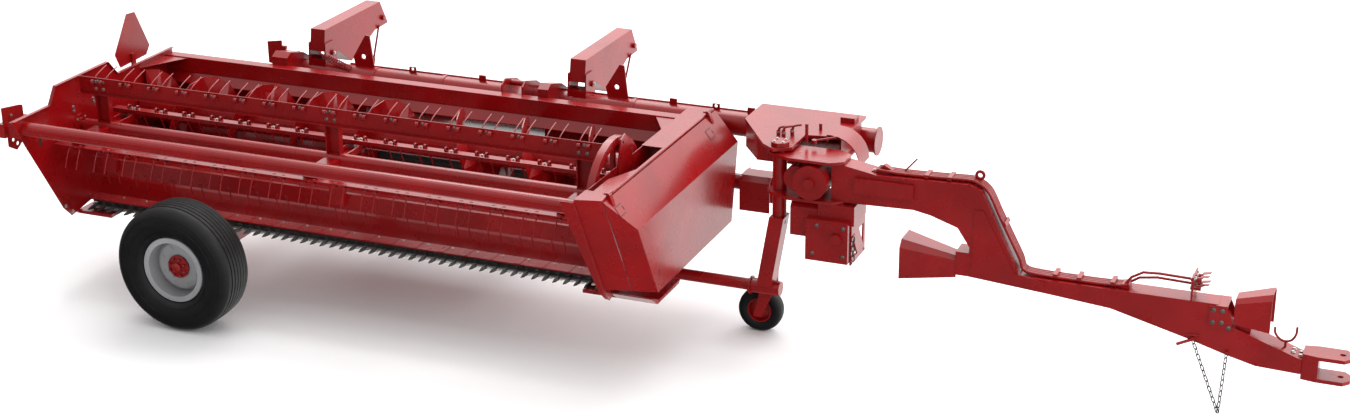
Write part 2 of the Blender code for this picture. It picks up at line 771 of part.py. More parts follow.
def rolls():
    rise = ROLL_RADIUS + ROLL_ROOT_RADIUS + ROLL_MESH_GAP
    made = []
    rows = (
        # name, height, turn in lugs
        ("roll_lower", LOWER_ROLL_Z, 0.0),
        ("roll_upper", LOWER_ROLL_Z + rise, 0.5),
    )
    for name, z, turn in rows:
        roll = plate(name, ROLL_RUBBER, lugged_outline(turn), ROLL_LENGTH - RUNNING_GAP, "X", 0)
        roll.location = (ROLL_MID_X, ROLL_Y, z)
        reach = ROLL_LENGTH / 2 + SHEET * 4
        shaft = rod("shaft", PLATED, (ROLL_MID_X - reach, ROLL_Y, z), (ROLL_MID_X + reach, ROLL_Y, z),
                    ROLL_ROOT_RADIUS / 3, sides=12)
        made.append(fuse(roll, shaft))
    return made


def conditioner_housing():
    # Two side plates and a hood behind the header that carry the rolls.
    front = PAN_BACK_Y + SHEET + 2 * GAP
    back = 1.66
    top = 1.135
    low = 0.52
    half = ROLL_LENGTH / 2 + SHEET
    side_shares = ((0, 1), (1, 0.55), (1, 0.0), (0, 0.12))
    outline = [(front + u * (back - front), low + v * (top - low)) for u, v in side_shares]
    left = plate("conditioner_housing", RED, outline, SHEET * 2, "X", ROLL_MID_X - half - SHEET)
    right = plate("side", RED, outline, SHEET * 2, "X", ROLL_MID_X + half + SHEET)
    drop = (top - low) * 0.45
    inset = SHEET / 3
    hood = [(front, top - inset), (back, top - drop - inset), (back, top - drop - inset - SHEET),
            (front, top - inset - SHEET)]
    roof = plate("roof", RED, hood, ROLL_LENGTH + SHEET * 4, "X", ROLL_MID_X)
    housing = fuse(left, roof, right)
    rise = ROLL_RADIUS + ROLL_ROOT_RADIUS + ROLL_MESH_GAP
    for z in (LOWER_ROLL_Z, LOWER_ROLL_Z + rise):
        hole = rod("hole", RED, (ROLL_MID_X - ROLL_LENGTH, ROLL_Y, z), (ROLL_MID_X + ROLL_LENGTH, ROLL_Y, z),
                   ROLL_ROOT_RADIUS / 3 + PIN_CLEARANCE)
        housing = cut(housing, hole)
    return housing


# Carrier frame

def main_tube():
    tube = rod("main_tube", RED, (TUBE_LEFT_X, TUBE_Y, TUBE_Z), (TUBE_RIGHT_X, TUBE_Y, TUBE_Z),
               TUBE_RADIUS, sides=24)
    end = rod("end", RED, (TUBE_RIGHT_X - PLATE, TUBE_Y, TUBE_Z), (TUBE_RIGHT_X, TUBE_Y, TUBE_Z),
              TUBE_END_PLATE_RADIUS, sides=24)
    return fuse(tube, end)


LINK_BRACKETS = (
    # name, middle x, width
    ("header_bracket_left", 0.87, 0.13),
    ("header_bracket_middle", 2.77, 0.15),
    ("header_bracket_right", 3.01, 0.08),
)


def header_brackets():
    # Plates that hang the header's rear beam on the carrier tube.
    made = []
    for name, x, width in LINK_BRACKETS:
        front = HEADER_BACK_Y - SHEET + GAP
        outline = [(front, TUBE_Z - 0.07), (front, TUBE_Z + 0.16), (front + 0.06, TUBE_Z + 0.19),
                   (TUBE_Y, TUBE_Z + 0.14), (TUBE_Y + 0.11, TUBE_Z + 0.07), (TUBE_Y + 0.11, TUBE_Z - 0.06),
                   (TUBE_Y + 0.04, TUBE_Z - 0.12), (TUBE_Y - 0.06, TUBE_Z - 0.12)]
        bracket = plate(name, RED, outline, width, "X", x)
        hole = rod("hole", RED, (x - width, TUBE_Y, TUBE_Z), (x + width, TUBE_Y, TUBE_Z),
                   TUBE_RADIUS + GAP, sides=24)
        made.append(cut(bracket, hole))
    return made


def pivot_frame():
    # Box frame from the carrier tube forward to the pivot post.
    top = PIVOT_FRAME_TOP_Z
    low = top - PIVOT_FRAME_HEIGHT
    outline = [(PIVOT_FRAME_LEFT_X, TUBE_Y), (PIVOT_FRAME_LEFT_X, 1.16), (PIVOT_X - 0.11, PIVOT_Y - 0.02),
               (PIVOT_X - 0.02, PIVOT_Y - 0.09),
               (PIVOT_X + 0.09, PIVOT_Y - 0.02), (5.05, 1.00), (5.30, 1.06), (5.30, TUBE_Y)]
    frame = plate("pivot_frame", RED, outline, PIVOT_FRAME_HEIGHT, "Z", (top + low) / 2)
    tube = rod("tube", RED, (4.0, TUBE_Y, TUBE_Z), (TUBE_RIGHT_X + OVERRUN, TUBE_Y, TUBE_Z),
               TUBE_RADIUS + GAP, sides=24)
    head = box("head", RED, (PIVOT_X - 0.40, PIVOT_Y - 0.30, low - OVERRUN),
               (PIVOT_X + HEAD_REACH + 0.1, PIVOT_Y + 0.19, HEAD_TOP_Z + 0.022))
    post = rod("post", RED, (PIVOT_X, PIVOT_Y, low), (PIVOT_X, PIVOT_Y, top + OVERRUN),
               PIVOT_RADIUS + GAP, sides=24)
    return cut(frame, tube, head, post)


def pivot_post():
    post = rod("pivot_post", RED, (PIVOT_X, PIVOT_Y, PIVOT_LOW_Z), (PIVOT_X, PIVOT_Y, PIVOT_TOP_Z),
               PIVOT_RADIUS, sides=24)
    half = LEG_WIDTH / 2
    low = LINK_Z + LINK_SLEEVE_RADIUS * 0.5
    leg = [(PIVOT_X - half, PIVOT_LOW_Z + half), (PIVOT_X + half, PIVOT_LOW_Z + half),
           (PIVOT_X + half + LEG_LEAN, low), (PIVOT_X - half + LEG_LEAN, low)]
    leg_piece = plate("leg", RED, leg, LEG_DEPTH, "Y", PIVOT_Y)
    foot_x = PIVOT_X + LEG_LEAN
    sleeve = rod("sleeve", RED, (foot_x - LINK_SLEEVE_LENGTH / 2, PIVOT_Y, LINK_Z),
                 (foot_x + LINK_SLEEVE_LENGTH / 2, PIVOT_Y, LINK_Z), LINK_SLEEVE_RADIUS, sides=20)
    return fuse(post, leg_piece, sleeve)


def link_tube():
    end = PIVOT_X + LEG_LEAN - LINK_SLEEVE_LENGTH / 2 - GAP
    tube = rod("link_tube", RED, (LINK_LEFT_X, PIVOT_Y, LINK_Z), (end, PIVOT_Y, LINK_Z), LINK_RADIUS, sides=16)
    flange = rod("flange", RED, (end - PLATE, PIVOT_Y, LINK_Z), (end, PIVOT_Y, LINK_Z),
                 LINK_SLEEVE_RADIUS + PLATE, sides=16)
    return fuse(tube, flange)


def link_bracket():
    # Hangs the link tube's left end under the header floor.
    top = HEADER_LOW_Z + 0.20
    width = 0.08
    block = box("link_bracket", RED, (INNER_RIGHT - width, PIVOT_Y - 0.06, LINK_Z - 0.06),
                (INNER_RIGHT, PIVOT_Y + 0.06, top))
    hole = rod("hole", RED, (INNER_RIGHT - 2 * width, PIVOT_Y, LINK_Z), (INNER_RIGHT + width, PIVOT_Y, LINK_Z),
               LINK_RADIUS + GAP, sides=16)
    return cut(block, hole)


def wheel_stand():
    # Carries the small support wheel behind the foot.
    foot_x = PIVOT_X + LEG_LEAN
    front = PIVOT_Y + LEG_DEPTH / 2 + GAP
    inner = SMALL_WHEEL_Y - SMALL_WHEEL_WIDTH / 2 - RUNNING_GAP
    plate_y = inner - PLATE / 2
    outline = [(foot_x - 0.05, 0.52), (foot_x + 0.05, 0.52), (foot_x + 0.05, 0.40),
               (SMALL_WHEEL_X + 0.03, SMALL_WHEEL_RADIUS - 0.03), (SMALL_WHEEL_X - 0.03, SMALL_WHEEL_RADIUS - 0.03),
               (foot_x - 0.06, 0.40)]
    stand = plate("wheel_stand", RED, outline, inner - front, "Y", (inner + front) / 2)
    axle = rod("axle", PLATED, (SMALL_WHEEL_X, plate_y, SMALL_WHEEL_RADIUS),
               (SMALL_WHEEL_X, SMALL_WHEEL_Y + SMALL_WHEEL_WIDTH / 2, SMALL_WHEEL_RADIUS), 0.012, sides=12)
    return fuse(stand, axle)


def small_wheel():
    half = SMALL_WHEEL_WIDTH / 2
    bore = 0.012 + PIN_CLEARANCE
    profile = [(bore, half), (0.05, half), (0.06, half * 0.8), (SMALL_WHEEL_RADIUS * 0.85, half * 0.85),
               (SMALL_WHEEL_RADIUS, half * 0.5), (SMALL_WHEEL_RADIUS, -half * 0.5),
               (SMALL_WHEEL_RADIUS * 0.85, -half * 0.85), (0.06, -half * 0.8), (0.05, -half), (bore, -half)]
    return turned("small_wheel", TYRE_RUBBER, profile, (SMALL_WHEEL_X, SMALL_WHEEL_Y, SMALL_WHEEL_RADIUS),
                  "Y", 28)


BEAD_RADIUS = 0.203       # seat of the tyre on the rim
RIM_WALL = 0.010
RIM_HUB_RADIUS = 0.080
RIM_DISH_RADIUS = 0.155
SPINDLE_RADIUS = 0.033
BEAD_HALF_WIDTH = TYRE_WIDTH * 0.35
FLANGE = 0.012
WHEEL_STEPS = 36


def tyre(name, y):
    # A ring with a treaded crown, round shoulders and beads between the rim's flanges.
    half = TYRE_WIDTH / 2
    wall = WHEEL_RADIUS - RIM_RADIUS
    side_shares = (
        # out from the rim flange to the crown, share of the half width
        (0.02, None), (0.14, 0.90), (0.45, 1.00), (0.74, 0.94), (0.94, 0.74), (1.00, 0.55),
    )
    side = [(BEAD_RADIUS, BEAD_HALF_WIDTH)]
    for out_share, width_share in side_shares:
        width = BEAD_HALF_WIDTH if width_share is None else half * width_share
        side.append((RIM_RADIUS + wall * out_share, width))
    profile = side + [(r, -t) for r, t in reversed(side)]
    return turned(name, TYRE_RUBBER, profile, (AXLE_X, y, WHEEL_RADIUS), "Y", WHEEL_STEPS)


def rim(name, y, side):
    # side is -1 where the wheel's face looks to the front of the header.
    seat = BEAD_RADIUS - GAP
    inner = BEAD_RADIUS - RIM_WALL
    near = BEAD_HALF_WIDTH + GAP
    far = near + FLANGE
    bore = SPINDLE_RADIUS + PIN_CLEARANCE
    face = TYRE_WIDTH * 0.13
    hub = TYRE_WIDTH * 0.25
    back = TYRE_WIDTH * 0.15
    seat_of_disc = TYRE_WIDTH * 0.03
    outside = [(bore, hub), (RIM_HUB_RADIUS * 0.8, hub), (RIM_HUB_RADIUS, face), (RIM_DISH_RADIUS, face),
               (inner, seat_of_disc), (inner, far), (RIM_RADIUS, far), (RIM_RADIUS, near), (seat, near)]
    inside = [(seat, -near), (RIM_RADIUS, -near), (RIM_RADIUS, -far), (inner, -far),
              (inner, seat_of_disc - RIM_WALL), (RIM_DISH_RADIUS, face - RIM_WALL),
              (RIM_HUB_RADIUS, face - RIM_WALL), (RIM_HUB_RADIUS, -back), (bore, -back)]
    profile = [(r, side * t) for r, t in outside + inside]
    return turned(name, SILVER, profile, (AXLE_X, y, WHEEL_RADIUS), "Y", WHEEL_STEPS)


def transport_axle():
    half = AXLE_BEAM_WIDTH / 2
    top = AXLE_BEAM_TOP_Z
    low = top - AXLE_BEAM_HEIGHT
    start = FRONT_WHEEL_Y + TYRE_WIDTH / 2 + RUNNING_GAP * 2
    stop = REAR_WHEEL_Y - TYRE_WIDTH / 2 - RUNNING_GAP * 2
    beam = box("transport_axle", RED, (AXLE_X - half, start, low), (AXLE_X + half, stop, top))
    for y, side in ((start, 1), (stop, -1)):
        # An end plate joins the low beam to the spindle, whatever the wheel's radius.
        near, far = sorted((y, y + side * AXLE_END_PLATE))
        foot = min(low, WHEEL_RADIUS - SPINDLE_RADIUS * 1.5)
        head = max(top, WHEEL_RADIUS + SPINDLE_RADIUS * 1.5)
        beam = fuse(beam, box("end", RED, (AXLE_X - half * 0.98, near, foot), (AXLE_X + half * 0.98, far, head)))
    spindle = rod("spindle", PLATED, (AXLE_X, FRONT_WHEEL_Y - TYRE_WIDTH * 0.26, WHEEL_RADIUS),
                  (AXLE_X, REAR_WHEEL_Y + TYRE_WIDTH * 0.26, WHEEL_RADIUS), SPINDLE_RADIUS, sides=32)
    return fuse(beam, spindle)


def axle_upright():
    # Stands on the axle beam behind the header and carries the tube.
    top = AXLE_BEAM_TOP_Z + GAP
    half = AXLE_BEAM_WIDTH / 2
    outline = [(TUBE_Y - 0.06, top), (TUBE_Y + 0.14, top), (TUBE_Y + 0.07, TUBE_Z), (TUBE_Y - 0.07, TUBE_Z)]
    upright = plate("axle_upright", RED, outline, AXLE_BEAM_WIDTH, "X", AXLE_X)
    hole = rod("hole", RED, (AXLE_X - half - OVERRUN, TUBE_Y, TUBE_Z), (AXLE_X + half + OVERRUN, TUBE_Y, TUBE_Z),
               TUBE_RADIUS + GAP, sides=24)
    return cut(upright, hole)


def lift_arms():
    made = []
    for name, x in zip(("left", "right"), ARM_X):
        outline = [(ARM_FRONT_Y, ARM_LOW_Z), (ARM_FRONT_Y, ARM_LOW_Z + ARM_FRONT_HEIGHT),
                   (ARM_REAR_Y, ARM_LOW_Z + ARM_REAR_HEIGHT), (ARM_REAR_Y + ARM_HEEL, ARM_LOW_Z + 0.03),
                   (ARM_REAR_Y - 0.15, ARM_LOW_Z + 0.01), (ARM_REAR_Y - 0.35, ARM_LOW_Z - 0.14),
                   (ARM_FRONT_Y + 0.25, ARM_LOW_Z - 0.02)]
        made.append(plate("lift_arm_" + name, RED, outline, ARM_WIDTH, "X", x))
    return made


STAND_BACK = 0.13


def arm_stands():
    # Posts on the carrier tube that carry each lift arm.
    made = []
    for name, x in zip(("left", "right"), ARM_X):
        half = ARM_WIDTH / 2
        outline = [(TUBE_Y - 0.06, TUBE_Z), (TUBE_Y + 0.10, TUBE_Z), (TUBE_Y + 0.12, ARM_LOW_Z - 0.02),
                   (TUBE_Y + 0.08, ARM_LOW_Z + 0.06), (TUBE_Y - 0.04, ARM_LOW_Z + 0.06)]
        stand = plate("arm_stand_" + name, RED, outline, PLATE, "X", x + half + GAP + PLATE / 2)
        other = plate("other", RED, outline, PLATE, "X", x - half - GAP - PLATE / 2)
        base = box("base", RED, (x - half - PLATE, TUBE_Y - 0.05, TUBE_Z), (x + half + PLATE, TUBE_Y + 0.08,
                                                                          TUBE_Z + TUBE_RADIUS + 0.03))
        stand = fuse(stand, base, other)
        hole = rod("hole", RED, (x - 0.5, TUBE_Y, TUBE_Z), (x + 0.5, TUBE_Y, TUBE_Z), TUBE_RADIUS + GAP, sides=24)
        stand = cut(stand, hole)
        made.append(stand)
    return made


# Tongue

def tongue_beam():
    outline = [
        # the gooseneck, from the head round the neck to the front
        (5.33, HEAD_TOP_Z), (5.64, 1.300), (6.24, 1.320), (6.31, 1.290), (6.58, 0.750), (7.81, 0.755),
        (7.90, 0.62), (TONGUE_FRONT_X, 0.47), (TONGUE_FRONT_X, 0.375), (8.06, 0.385), (7.88, 0.43), (7.64, 0.50),
        (7.16, 0.625), (6.76, 0.66), (NECK_X, 0.70), (NECK_X, 0.90), (6.17, 1.02), (5.99, 1.08),
        (5.88, 1.10), (5.33, HEAD_LOW_Z),
    ]
    beam = plate("tongue_beam", RED, outline, TONGUE_WIDTH, "Y", PIVOT_Y)
    half = HEAD_PLATE_WIDTH / 2
    for z in (HEAD_TOP_Z, HEAD_LOW_Z):
        head = [(PIVOT_X - 0.04, PIVOT_Y - 0.075), (PIVOT_X + 0.10, PIVOT_Y - half), (PIVOT_X + 0.38, PIVOT_Y - half),
                (PIVOT_X + 0.46, PIVOT_Y - TONGUE_WIDTH / 2), (PIVOT_X + 0.46, PIVOT_Y + TONGUE_WIDTH / 2),
                (PIVOT_X + 0.38, PIVOT_Y + half), (PIVOT_X + 0.10, PIVOT_Y + half), (PIVOT_X - 0.04, PIVOT_Y + 0.075),
                (PIVOT_X - 0.085, PIVOT_Y)]
        beam = fuse(beam, plate("head", RED, head, HEAVY_PLATE, "Z", z))
    hole = rod("hole", RED, (PIVOT_X, PIVOT_Y, HEAD_LOW_Z - OVERRUN), (PIVOT_X, PIVOT_Y, HEAD_TOP_Z + OVERRUN),
               PIVOT_RADIUS + PIN_CLEARANCE, sides=24)
    return cut(beam, hole)


def hitch_clevis():
    start = TONGUE_FRONT_X + GAP
    half = CLEVIS_WIDTH / 2
    z = 0.425
    block = box("hitch_clevis", RED, (start, PIVOT_Y - half, z - 0.085), (HITCH_REACH, PIVOT_Y + half, z + 0.085))
    slot = box("slot", RED, (start + 0.10, PIVOT_Y - half - OVERRUN, z - 0.085 + CLEVIS_PLATE),
               (HITCH_REACH + OVERRUN, PIVOT_Y + half + OVERRUN, z + 0.085 - CLEVIS_PLATE))
    hole = rod("hole", RED, (HITCH_REACH - 0.06, PIVOT_Y, z - 0.2), (HITCH_REACH - 0.06, PIVOT_Y, z + 0.2),
               CLEVIS_HOLE_RADIUS, sides=16)
    return cut(block, slot, hole)


def pivot_gearbox():
    body = box("pivot_gearbox", RED, (PIVOT_X + 0.075, PIVOT_Y - 0.09, HEAD_LOW_Z + HEAVY_PLATE / 2 + GAP),
               (PIVOT_X + 0.16, PIVOT_Y + 0.09, HEAD_TOP_Z - HEAVY_PLATE / 2 - GAP))
    disc = rod("disc", RED, (PIVOT_X + 0.25, PIVOT_Y - 0.15, 1.215), (PIVOT_X + 0.25, PIVOT_Y + 0.15, 1.215), 0.115,
               sides=28)
    return fuse(body, disc)


def lower_gearbox():
    top = HEAD_LOW_Z - HEAVY_PLATE / 2 - GAP
    return box("lower_gearbox", RED, (5.25, PIVOT_Y - 0.12, 0.74), (5.48, PIVOT_Y + 0.15, top))


def hood(name, x_wide, x_narrow, wide, narrow, low_wide, low_narrow, high_wide, high_narrow):
    # A tapered tunnel, open below and at both ends, over a drive shaft.
    rings = []
    for x, half, low, high in ((x_wide, wide / 2, low_wide, high_wide), (x_narrow, narrow / 2, low_narrow, high_narrow)):
        corner = half * 0.35
        outer = [(-half, low), (-half, high - corner), (-half + corner, high), (half - corner, high),
                 (half, high - corner), (half, low)]
        inner = [(half - SHEET, low), (half - SHEET, high - corner), (half - corner, high - SHEET),
                 (-half + corner, high - SHEET), (-half + SHEET, high - corner), (-half + SHEET, low)]
        rings.append([(x, PIVOT_Y + y, z) for y, z in outer + inner])
    return loft(name, RED, rings)


def hoods():
    end = NECK_X - GAP
    rear = hood("driveline_hood_rear", 5.81, 6.17, 0.26, 0.14, 0.64, 0.68, 0.90, 0.82)
    bracket = box("bracket", RED, (6.17 - SHEET, PIVOT_Y - 0.075, 0.70), (end, PIVOT_Y + 0.075, 0.86))
    bore = rod("bore", RED, (5.81, PIVOT_Y, 0.75), (6.17 + 0.04, PIVOT_Y, 0.75), 0.05)
    return [fuse(rear, cut(bracket, bore))]


def machine_pieces():
    root = []
    root += list(header_panels())
    root.append(floor_pan())
    root.append(cutter_bar())
    root.append(push_bar())
    root.append(rear_beam())
    root += rear_walls()
    root.append(drive_shield())
    root += skid_shoes()
    root.append(conditioner_housing())
    root.append(rear_sign())
    root.append(light_bracket())
    root.append(main_tube())
    root += header_brackets()
    root.append(pivot_frame())
    root.append(pivot_post())
    root.append(link_tube())
    root.append(link_bracket())
    root.append(wheel_stand())
    root.append(transport_axle())
    root.append(axle_upright())
    root += lift_arms()
    root += arm_stands()
    return root


BODY_PLACES = {
    # body: a point on its joint axis
    "shield_cover": (HINGE_X, 0, HINGE_Z),
    "reel": (0, REEL_Y, REEL_Z),
    "auger": (0, AUGER_Y, AUGER_Z),
    "roll_lower": (ROLL_MID_X, ROLL_Y, LOWER_ROLL_Z),
    "roll_upper": (ROLL_MID_X, ROLL_Y, LOWER_ROLL_Z + ROLL_RADIUS + ROLL_ROOT_RADIUS + ROLL_MESH_GAP),
    "front_wheel": (AXLE_X, FRONT_WHEEL_Y, WHEEL_RADIUS),
    "rear_wheel": (AXLE_X, REAR_WHEEL_Y, WHEEL_RADIUS),
    "small_wheel": (SMALL_WHEEL_X, SMALL_WHEEL_Y, SMALL_WHEEL_RADIUS),
    "tongue": (PIVOT_X, PIVOT_Y, HEAD_LOW_Z),
}


def empty(name, place, parent):
    obj = bpy.data.objects.new(name, None)
    obj.location = place
    PARTS.objects.link(obj)
    obj.parent = parent
    return obj


def ride(pieces, carrier):
    for piece in pieces:
        piece.location = Vector(piece.location) - Vector(carrier.location)
        if carrier.name == PARTS_NAME + "_frame":
            piece.location = Vector(piece.location) + Vector(carrier.location)
        piece.parent = carrier
        round_off(piece)


def main():
    frame = empty(PARTS_NAME + "_frame", (-MIDDLE_X, -MIDDLE_Y, 0), None)
    carriers = {name: empty(name + "_axis", place, frame) for name, place in BODY_PLACES.items()}
    ride(machine_pieces(), frame)
    ride([shield_cover()], carriers["shield_cover"])
    ride([reel_core()] + reel_bats(), carriers["reel"])
    ride([auger()], carriers["auger"])
    lower, upper = rolls()
    ride([lower], carriers["roll_lower"])
    ride([upper], carriers["roll_upper"])
    ride([tyre("front_tyre", FRONT_WHEEL_Y), rim("front_rim", FRONT_WHEEL_Y, -1)], carriers["front_wheel"])
    ride([tyre("rear_tyre", REAR_WHEEL_Y), rim("rear_rim", REAR_WHEEL_Y, 1)], carriers["rear_wheel"])
    ride([small_wheel()], carriers["small_wheel"])
    ride([tongue_beam(), hitch_clevis(), pivot_gearbox(), lower_gearbox()] + hoods(), carriers["tongue"])


main()
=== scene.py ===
# Looks of the mower conditioner: finishes, detailed pieces, fittings, floor, studio light and camera.
# Lengths are in metres. Pieces are drawn in the header's own frame, with x = 0 at the left guards and
# y = 0 at the guards' tips, and dress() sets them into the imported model's frame.
import json
from math import atan2, cos, pi, radians, sin, tan

import bmesh
import bpy
from mathutils import Matrix, Vector

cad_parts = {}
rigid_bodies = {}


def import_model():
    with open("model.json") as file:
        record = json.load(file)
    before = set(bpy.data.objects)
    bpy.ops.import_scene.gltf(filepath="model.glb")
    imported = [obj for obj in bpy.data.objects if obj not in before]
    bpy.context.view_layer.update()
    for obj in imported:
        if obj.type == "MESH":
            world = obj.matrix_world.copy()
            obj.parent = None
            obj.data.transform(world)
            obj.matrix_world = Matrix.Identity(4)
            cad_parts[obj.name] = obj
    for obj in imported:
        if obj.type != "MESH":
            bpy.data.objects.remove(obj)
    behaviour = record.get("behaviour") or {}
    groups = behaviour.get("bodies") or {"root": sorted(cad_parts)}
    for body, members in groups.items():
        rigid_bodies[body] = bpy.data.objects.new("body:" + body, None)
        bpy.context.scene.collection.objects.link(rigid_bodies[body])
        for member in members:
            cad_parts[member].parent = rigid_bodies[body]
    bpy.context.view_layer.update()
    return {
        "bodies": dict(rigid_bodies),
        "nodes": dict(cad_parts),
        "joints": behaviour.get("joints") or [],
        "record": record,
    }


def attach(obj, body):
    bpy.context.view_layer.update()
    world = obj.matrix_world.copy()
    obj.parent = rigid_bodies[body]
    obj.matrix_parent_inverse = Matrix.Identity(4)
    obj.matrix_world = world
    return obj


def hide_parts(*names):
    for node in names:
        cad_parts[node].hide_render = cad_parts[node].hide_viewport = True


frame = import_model()

IMAGE_WIDTH = 1350
SENSOR_WIDTH = 36.0
FOCAL_PIXELS = 2155.566
CAMERA_PLACE = (5.18548, -12.56654, 6.08)
CAMERA_YAW = radians(-22.3775)
CAMERA_PITCH = radians(21.2669)
CAMERA_ROLL = radians(-0.505)


# Materials

def shader_of(name):
    made = bpy.data.materials.new(name)
    made.use_nodes = True
    return made, made.node_tree, made.node_tree.nodes["Principled BSDF"]


def fill(node, **values):
    # Sets a node's inputs by name; an underscore stands for a space.
    for name, value in values.items():
        node.inputs[name.replace("_", " ")].default_value = value
    return node


def noise(tree, scale, detail, roughness=0.55):
    node = fill(tree.nodes.new("ShaderNodeTexNoise"), Scale=scale, Detail=detail, Roughness=roughness)
    tree.links.new(tree.nodes.new("ShaderNodeTexCoord").outputs["Object"], node.inputs["Vector"])
    return node.outputs["Fac"]


def ramp(tree, factor, stops):
    node = tree.nodes.new("ShaderNodeValToRGB")
    while len(node.color_ramp.elements) < len(stops):
        node.color_ramp.elements.new(0.5)
    for element, (place, color) in zip(node.color_ramp.elements, stops):
        element.position = place
        element.color = (*color, 1.0)
    tree.links.new(factor, node.inputs["Fac"])
    return node.outputs["Color"]


def mixed(tree, factor, first, second):
    node = tree.nodes.new("ShaderNodeMix")
    node.data_type = "RGBA"
    tree.links.new(factor, node.inputs["Factor"])
    for socket, value in ((node.inputs["A"], first), (node.inputs["B"], second)):
        if isinstance(value, tuple):
            socket.default_value = (*value, 1.0)
        else:
            tree.links.new(value, socket)
    return node.outputs["Result"]


def spread(tree, factor, low, high):
    node = fill(tree.nodes.new("ShaderNodeMapRange"), To_Min=low, To_Max=high)
    tree.links.new(factor, node.inputs["Value"])
    return node.outputs["Result"]


def bumps(tree, shader, factor, strength, distance):
    node = fill(tree.nodes.new("ShaderNodeBump"), Strength=strength, Distance=distance)
    tree.links.new(factor, node.inputs["Height"])
    tree.links.new(node.outputs["Normal"], shader.inputs["Normal"])


# Each finish: where its light colour starts, how strong its grain is, then scale and detail of the noises
# of its colour, its gloss and its grain
PAINT_LOOK = (0.65, 0.05, (2.2, 6.0), (5.0, 5.0), (160.0, 2.0))
METAL_LOOK = (0.7, 0.1, (18.0, 7.0), (30.0, 4.0), (220.0, 3.0))
RUBBER_LOOK = (0.75, 0.15, (9.0, 8.0), (14.0, 4.0), (300.0, 3.0))
RUBBER_GLOSS = (0.5, 0.75)
DARK_STOP = 0.35
GRAIN_DEPTH = 0.001
DUST_NOISE = (7.0, 8.0, 0.7)
DUST_STOPS = (0.48, 0.80)
PAINT_SPECULAR = 0.45
COAT_ROUGHNESS = 0.14


def worn(name, light, dark, gloss, look):
    # A finish with drifting colour, uneven gloss and a fine grain.
    light_stop, strength, tint_noise, gloss_noise, grain_noise = look
    made, tree, shader = shader_of(name)
    tint = ramp(tree, noise(tree, *tint_noise), ((DARK_STOP, dark), (light_stop, light)))
    tree.links.new(tint, shader.inputs["Base Color"])
    tree.links.new(spread(tree, noise(tree, *gloss_noise), *gloss), shader.inputs["Roughness"])
    bumps(tree, shader, noise(tree, *grain_noise), strength, GRAIN_DEPTH)
    return made, tree, shader, tint


def painted(name, light, dark, dust, dust_share, gloss, coat):
    # Enamel with faint colour drift, dull dusty patches and a soft orange peel.
    made, tree, shader, drift = worn(name, light, dark, gloss, PAINT_LOOK)
    shares = ((0, 0, 0), (dust_share,) * 3)
    patches = ramp(tree, noise(tree, *DUST_NOISE), tuple(zip(DUST_STOPS, shares)))
    tree.links.new(mixed(tree, patches, drift, dust), shader.inputs["Base Color"])
    fill(shader, Specular_IOR_Level=PAINT_SPECULAR, Coat_Weight=coat, Coat_Roughness=COAT_ROUGHNESS)
    return made


def metal(name, light, dark, metallic, gloss):
    made, _, shader, _ = worn(name, light, dark, gloss, METAL_LOOK)
    fill(shader, Metallic=metallic)
    return made


def rubber(name, light, dark):
    return worn(name, light, dark, RUBBER_GLOSS, RUBBER_LOOK)[0]


RED = painted("red_enamel", (0.29, 0.0015, 0.003), (0.22, 0.001, 0.002), dust=(0.28, 0.009, 0.008),
              dust_share=0.14, gloss=(0.20, 0.36), coat=0.25)
DARK_STEEL = metal("worn_dark_steel", (0.075, 0.072, 0.07), (0.03, 0.028, 0.027), 0.5, (0.40, 0.58))
SILVER = painted("silver_rim_paint", (0.34, 0.34, 0.35), (0.26, 0.26, 0.27), dust=(0.22, 0.20, 0.18),
                 dust_share=0.2, gloss=(0.3, 0.42), coat=0.1)
TYRE_RUBBER = rubber("tyre_rubber_worn", (0.007, 0.0068, 0.0068), (0.003, 0.003, 0.003))
ROLL_RUBBER = rubber("roll_rubber_worn", (0.035, 0.033, 0.031), (0.016, 0.016, 0.016))
PLATED = metal("plated_bolt_steel", (0.62, 0.61, 0.58), (0.42, 0.41, 0.38), 0.95, (0.25, 0.4))
# Dark colour for the seam lines round the cover's latches; it also fills the panel's slot and the cover's
# keyhole as painted shade of their openings
SEAM_AND_HOLE_SHADE = rubber("dark_seam_and_painted_hole_shade", (0.03, 0.010, 0.010), (0.012, 0.005, 0.005))

SLOT_MATERIALS = {
    "red_paint": RED, "dark_steel": DARK_STEEL, "silver_paint": SILVER, "tyre_rubber": TYRE_RUBBER,
    "roll_rubber": ROLL_RUBBER, "plated_steel": PLATED,
}


# Shapes

AXIS_TURNS = {
    "X": Matrix(((0, 0, 1), (1, 0, 0), (0, 1, 0))),
    "Y": Matrix(((1, 0, 0), (0, 0, -1), (0, 1, 0))),
    "Z": Matrix.Identity(3),
}
FLAT_SIGNS = {"X": 1, "Y": -1, "Z": 1}
CREASE = radians(38)
EDGE = 0.0016              # softened edge of a large piece
FINE_EDGE = 0.0008
BROAD_EDGE = 0.0025


def link(obj, mat=None):
    bpy.context.scene.collection.objects.link(obj)
    if mat:
        obj.data.materials.clear()
        obj.data.materials.append(mat)
    return obj


def solid(name, shape, mat):
    # An object from a finished bmesh.
    bmesh.ops.recalc_face_normals(shape, faces=shape.faces)
    mesh = bpy.data.meshes.new(name)
    shape.to_mesh(mesh)
    shape.free()
    return link(bpy.data.objects.new(name, mesh), mat)


def skin(rings, closed=False):
    # The faces between rings of the same number of points; a closed skin joins the last ring to the first.
    shape = bmesh.new()
    rows = [[shape.verts.new(spot) for spot in ring] for ring in rings]
    count = len(rings[0])
    for a, b in zip(rows, rows[1:] + (rows[:1] if closed else [])):
        for i in range(count):
            j = (i + 1) % count
            shape.faces.new((a[i], a[j], b[j], b[i]))
    return shape, rows


def loft(name, rings, mat=RED):
    # A closed solid through rings of the same number of points.
    shape, rows = skin(rings)
    caps = [shape.faces.new(rows[0]), shape.faces.new(rows[-1])]
    shape.normal_update()
    bmesh.ops.triangulate(shape, faces=caps)
    return solid(name, shape, mat)


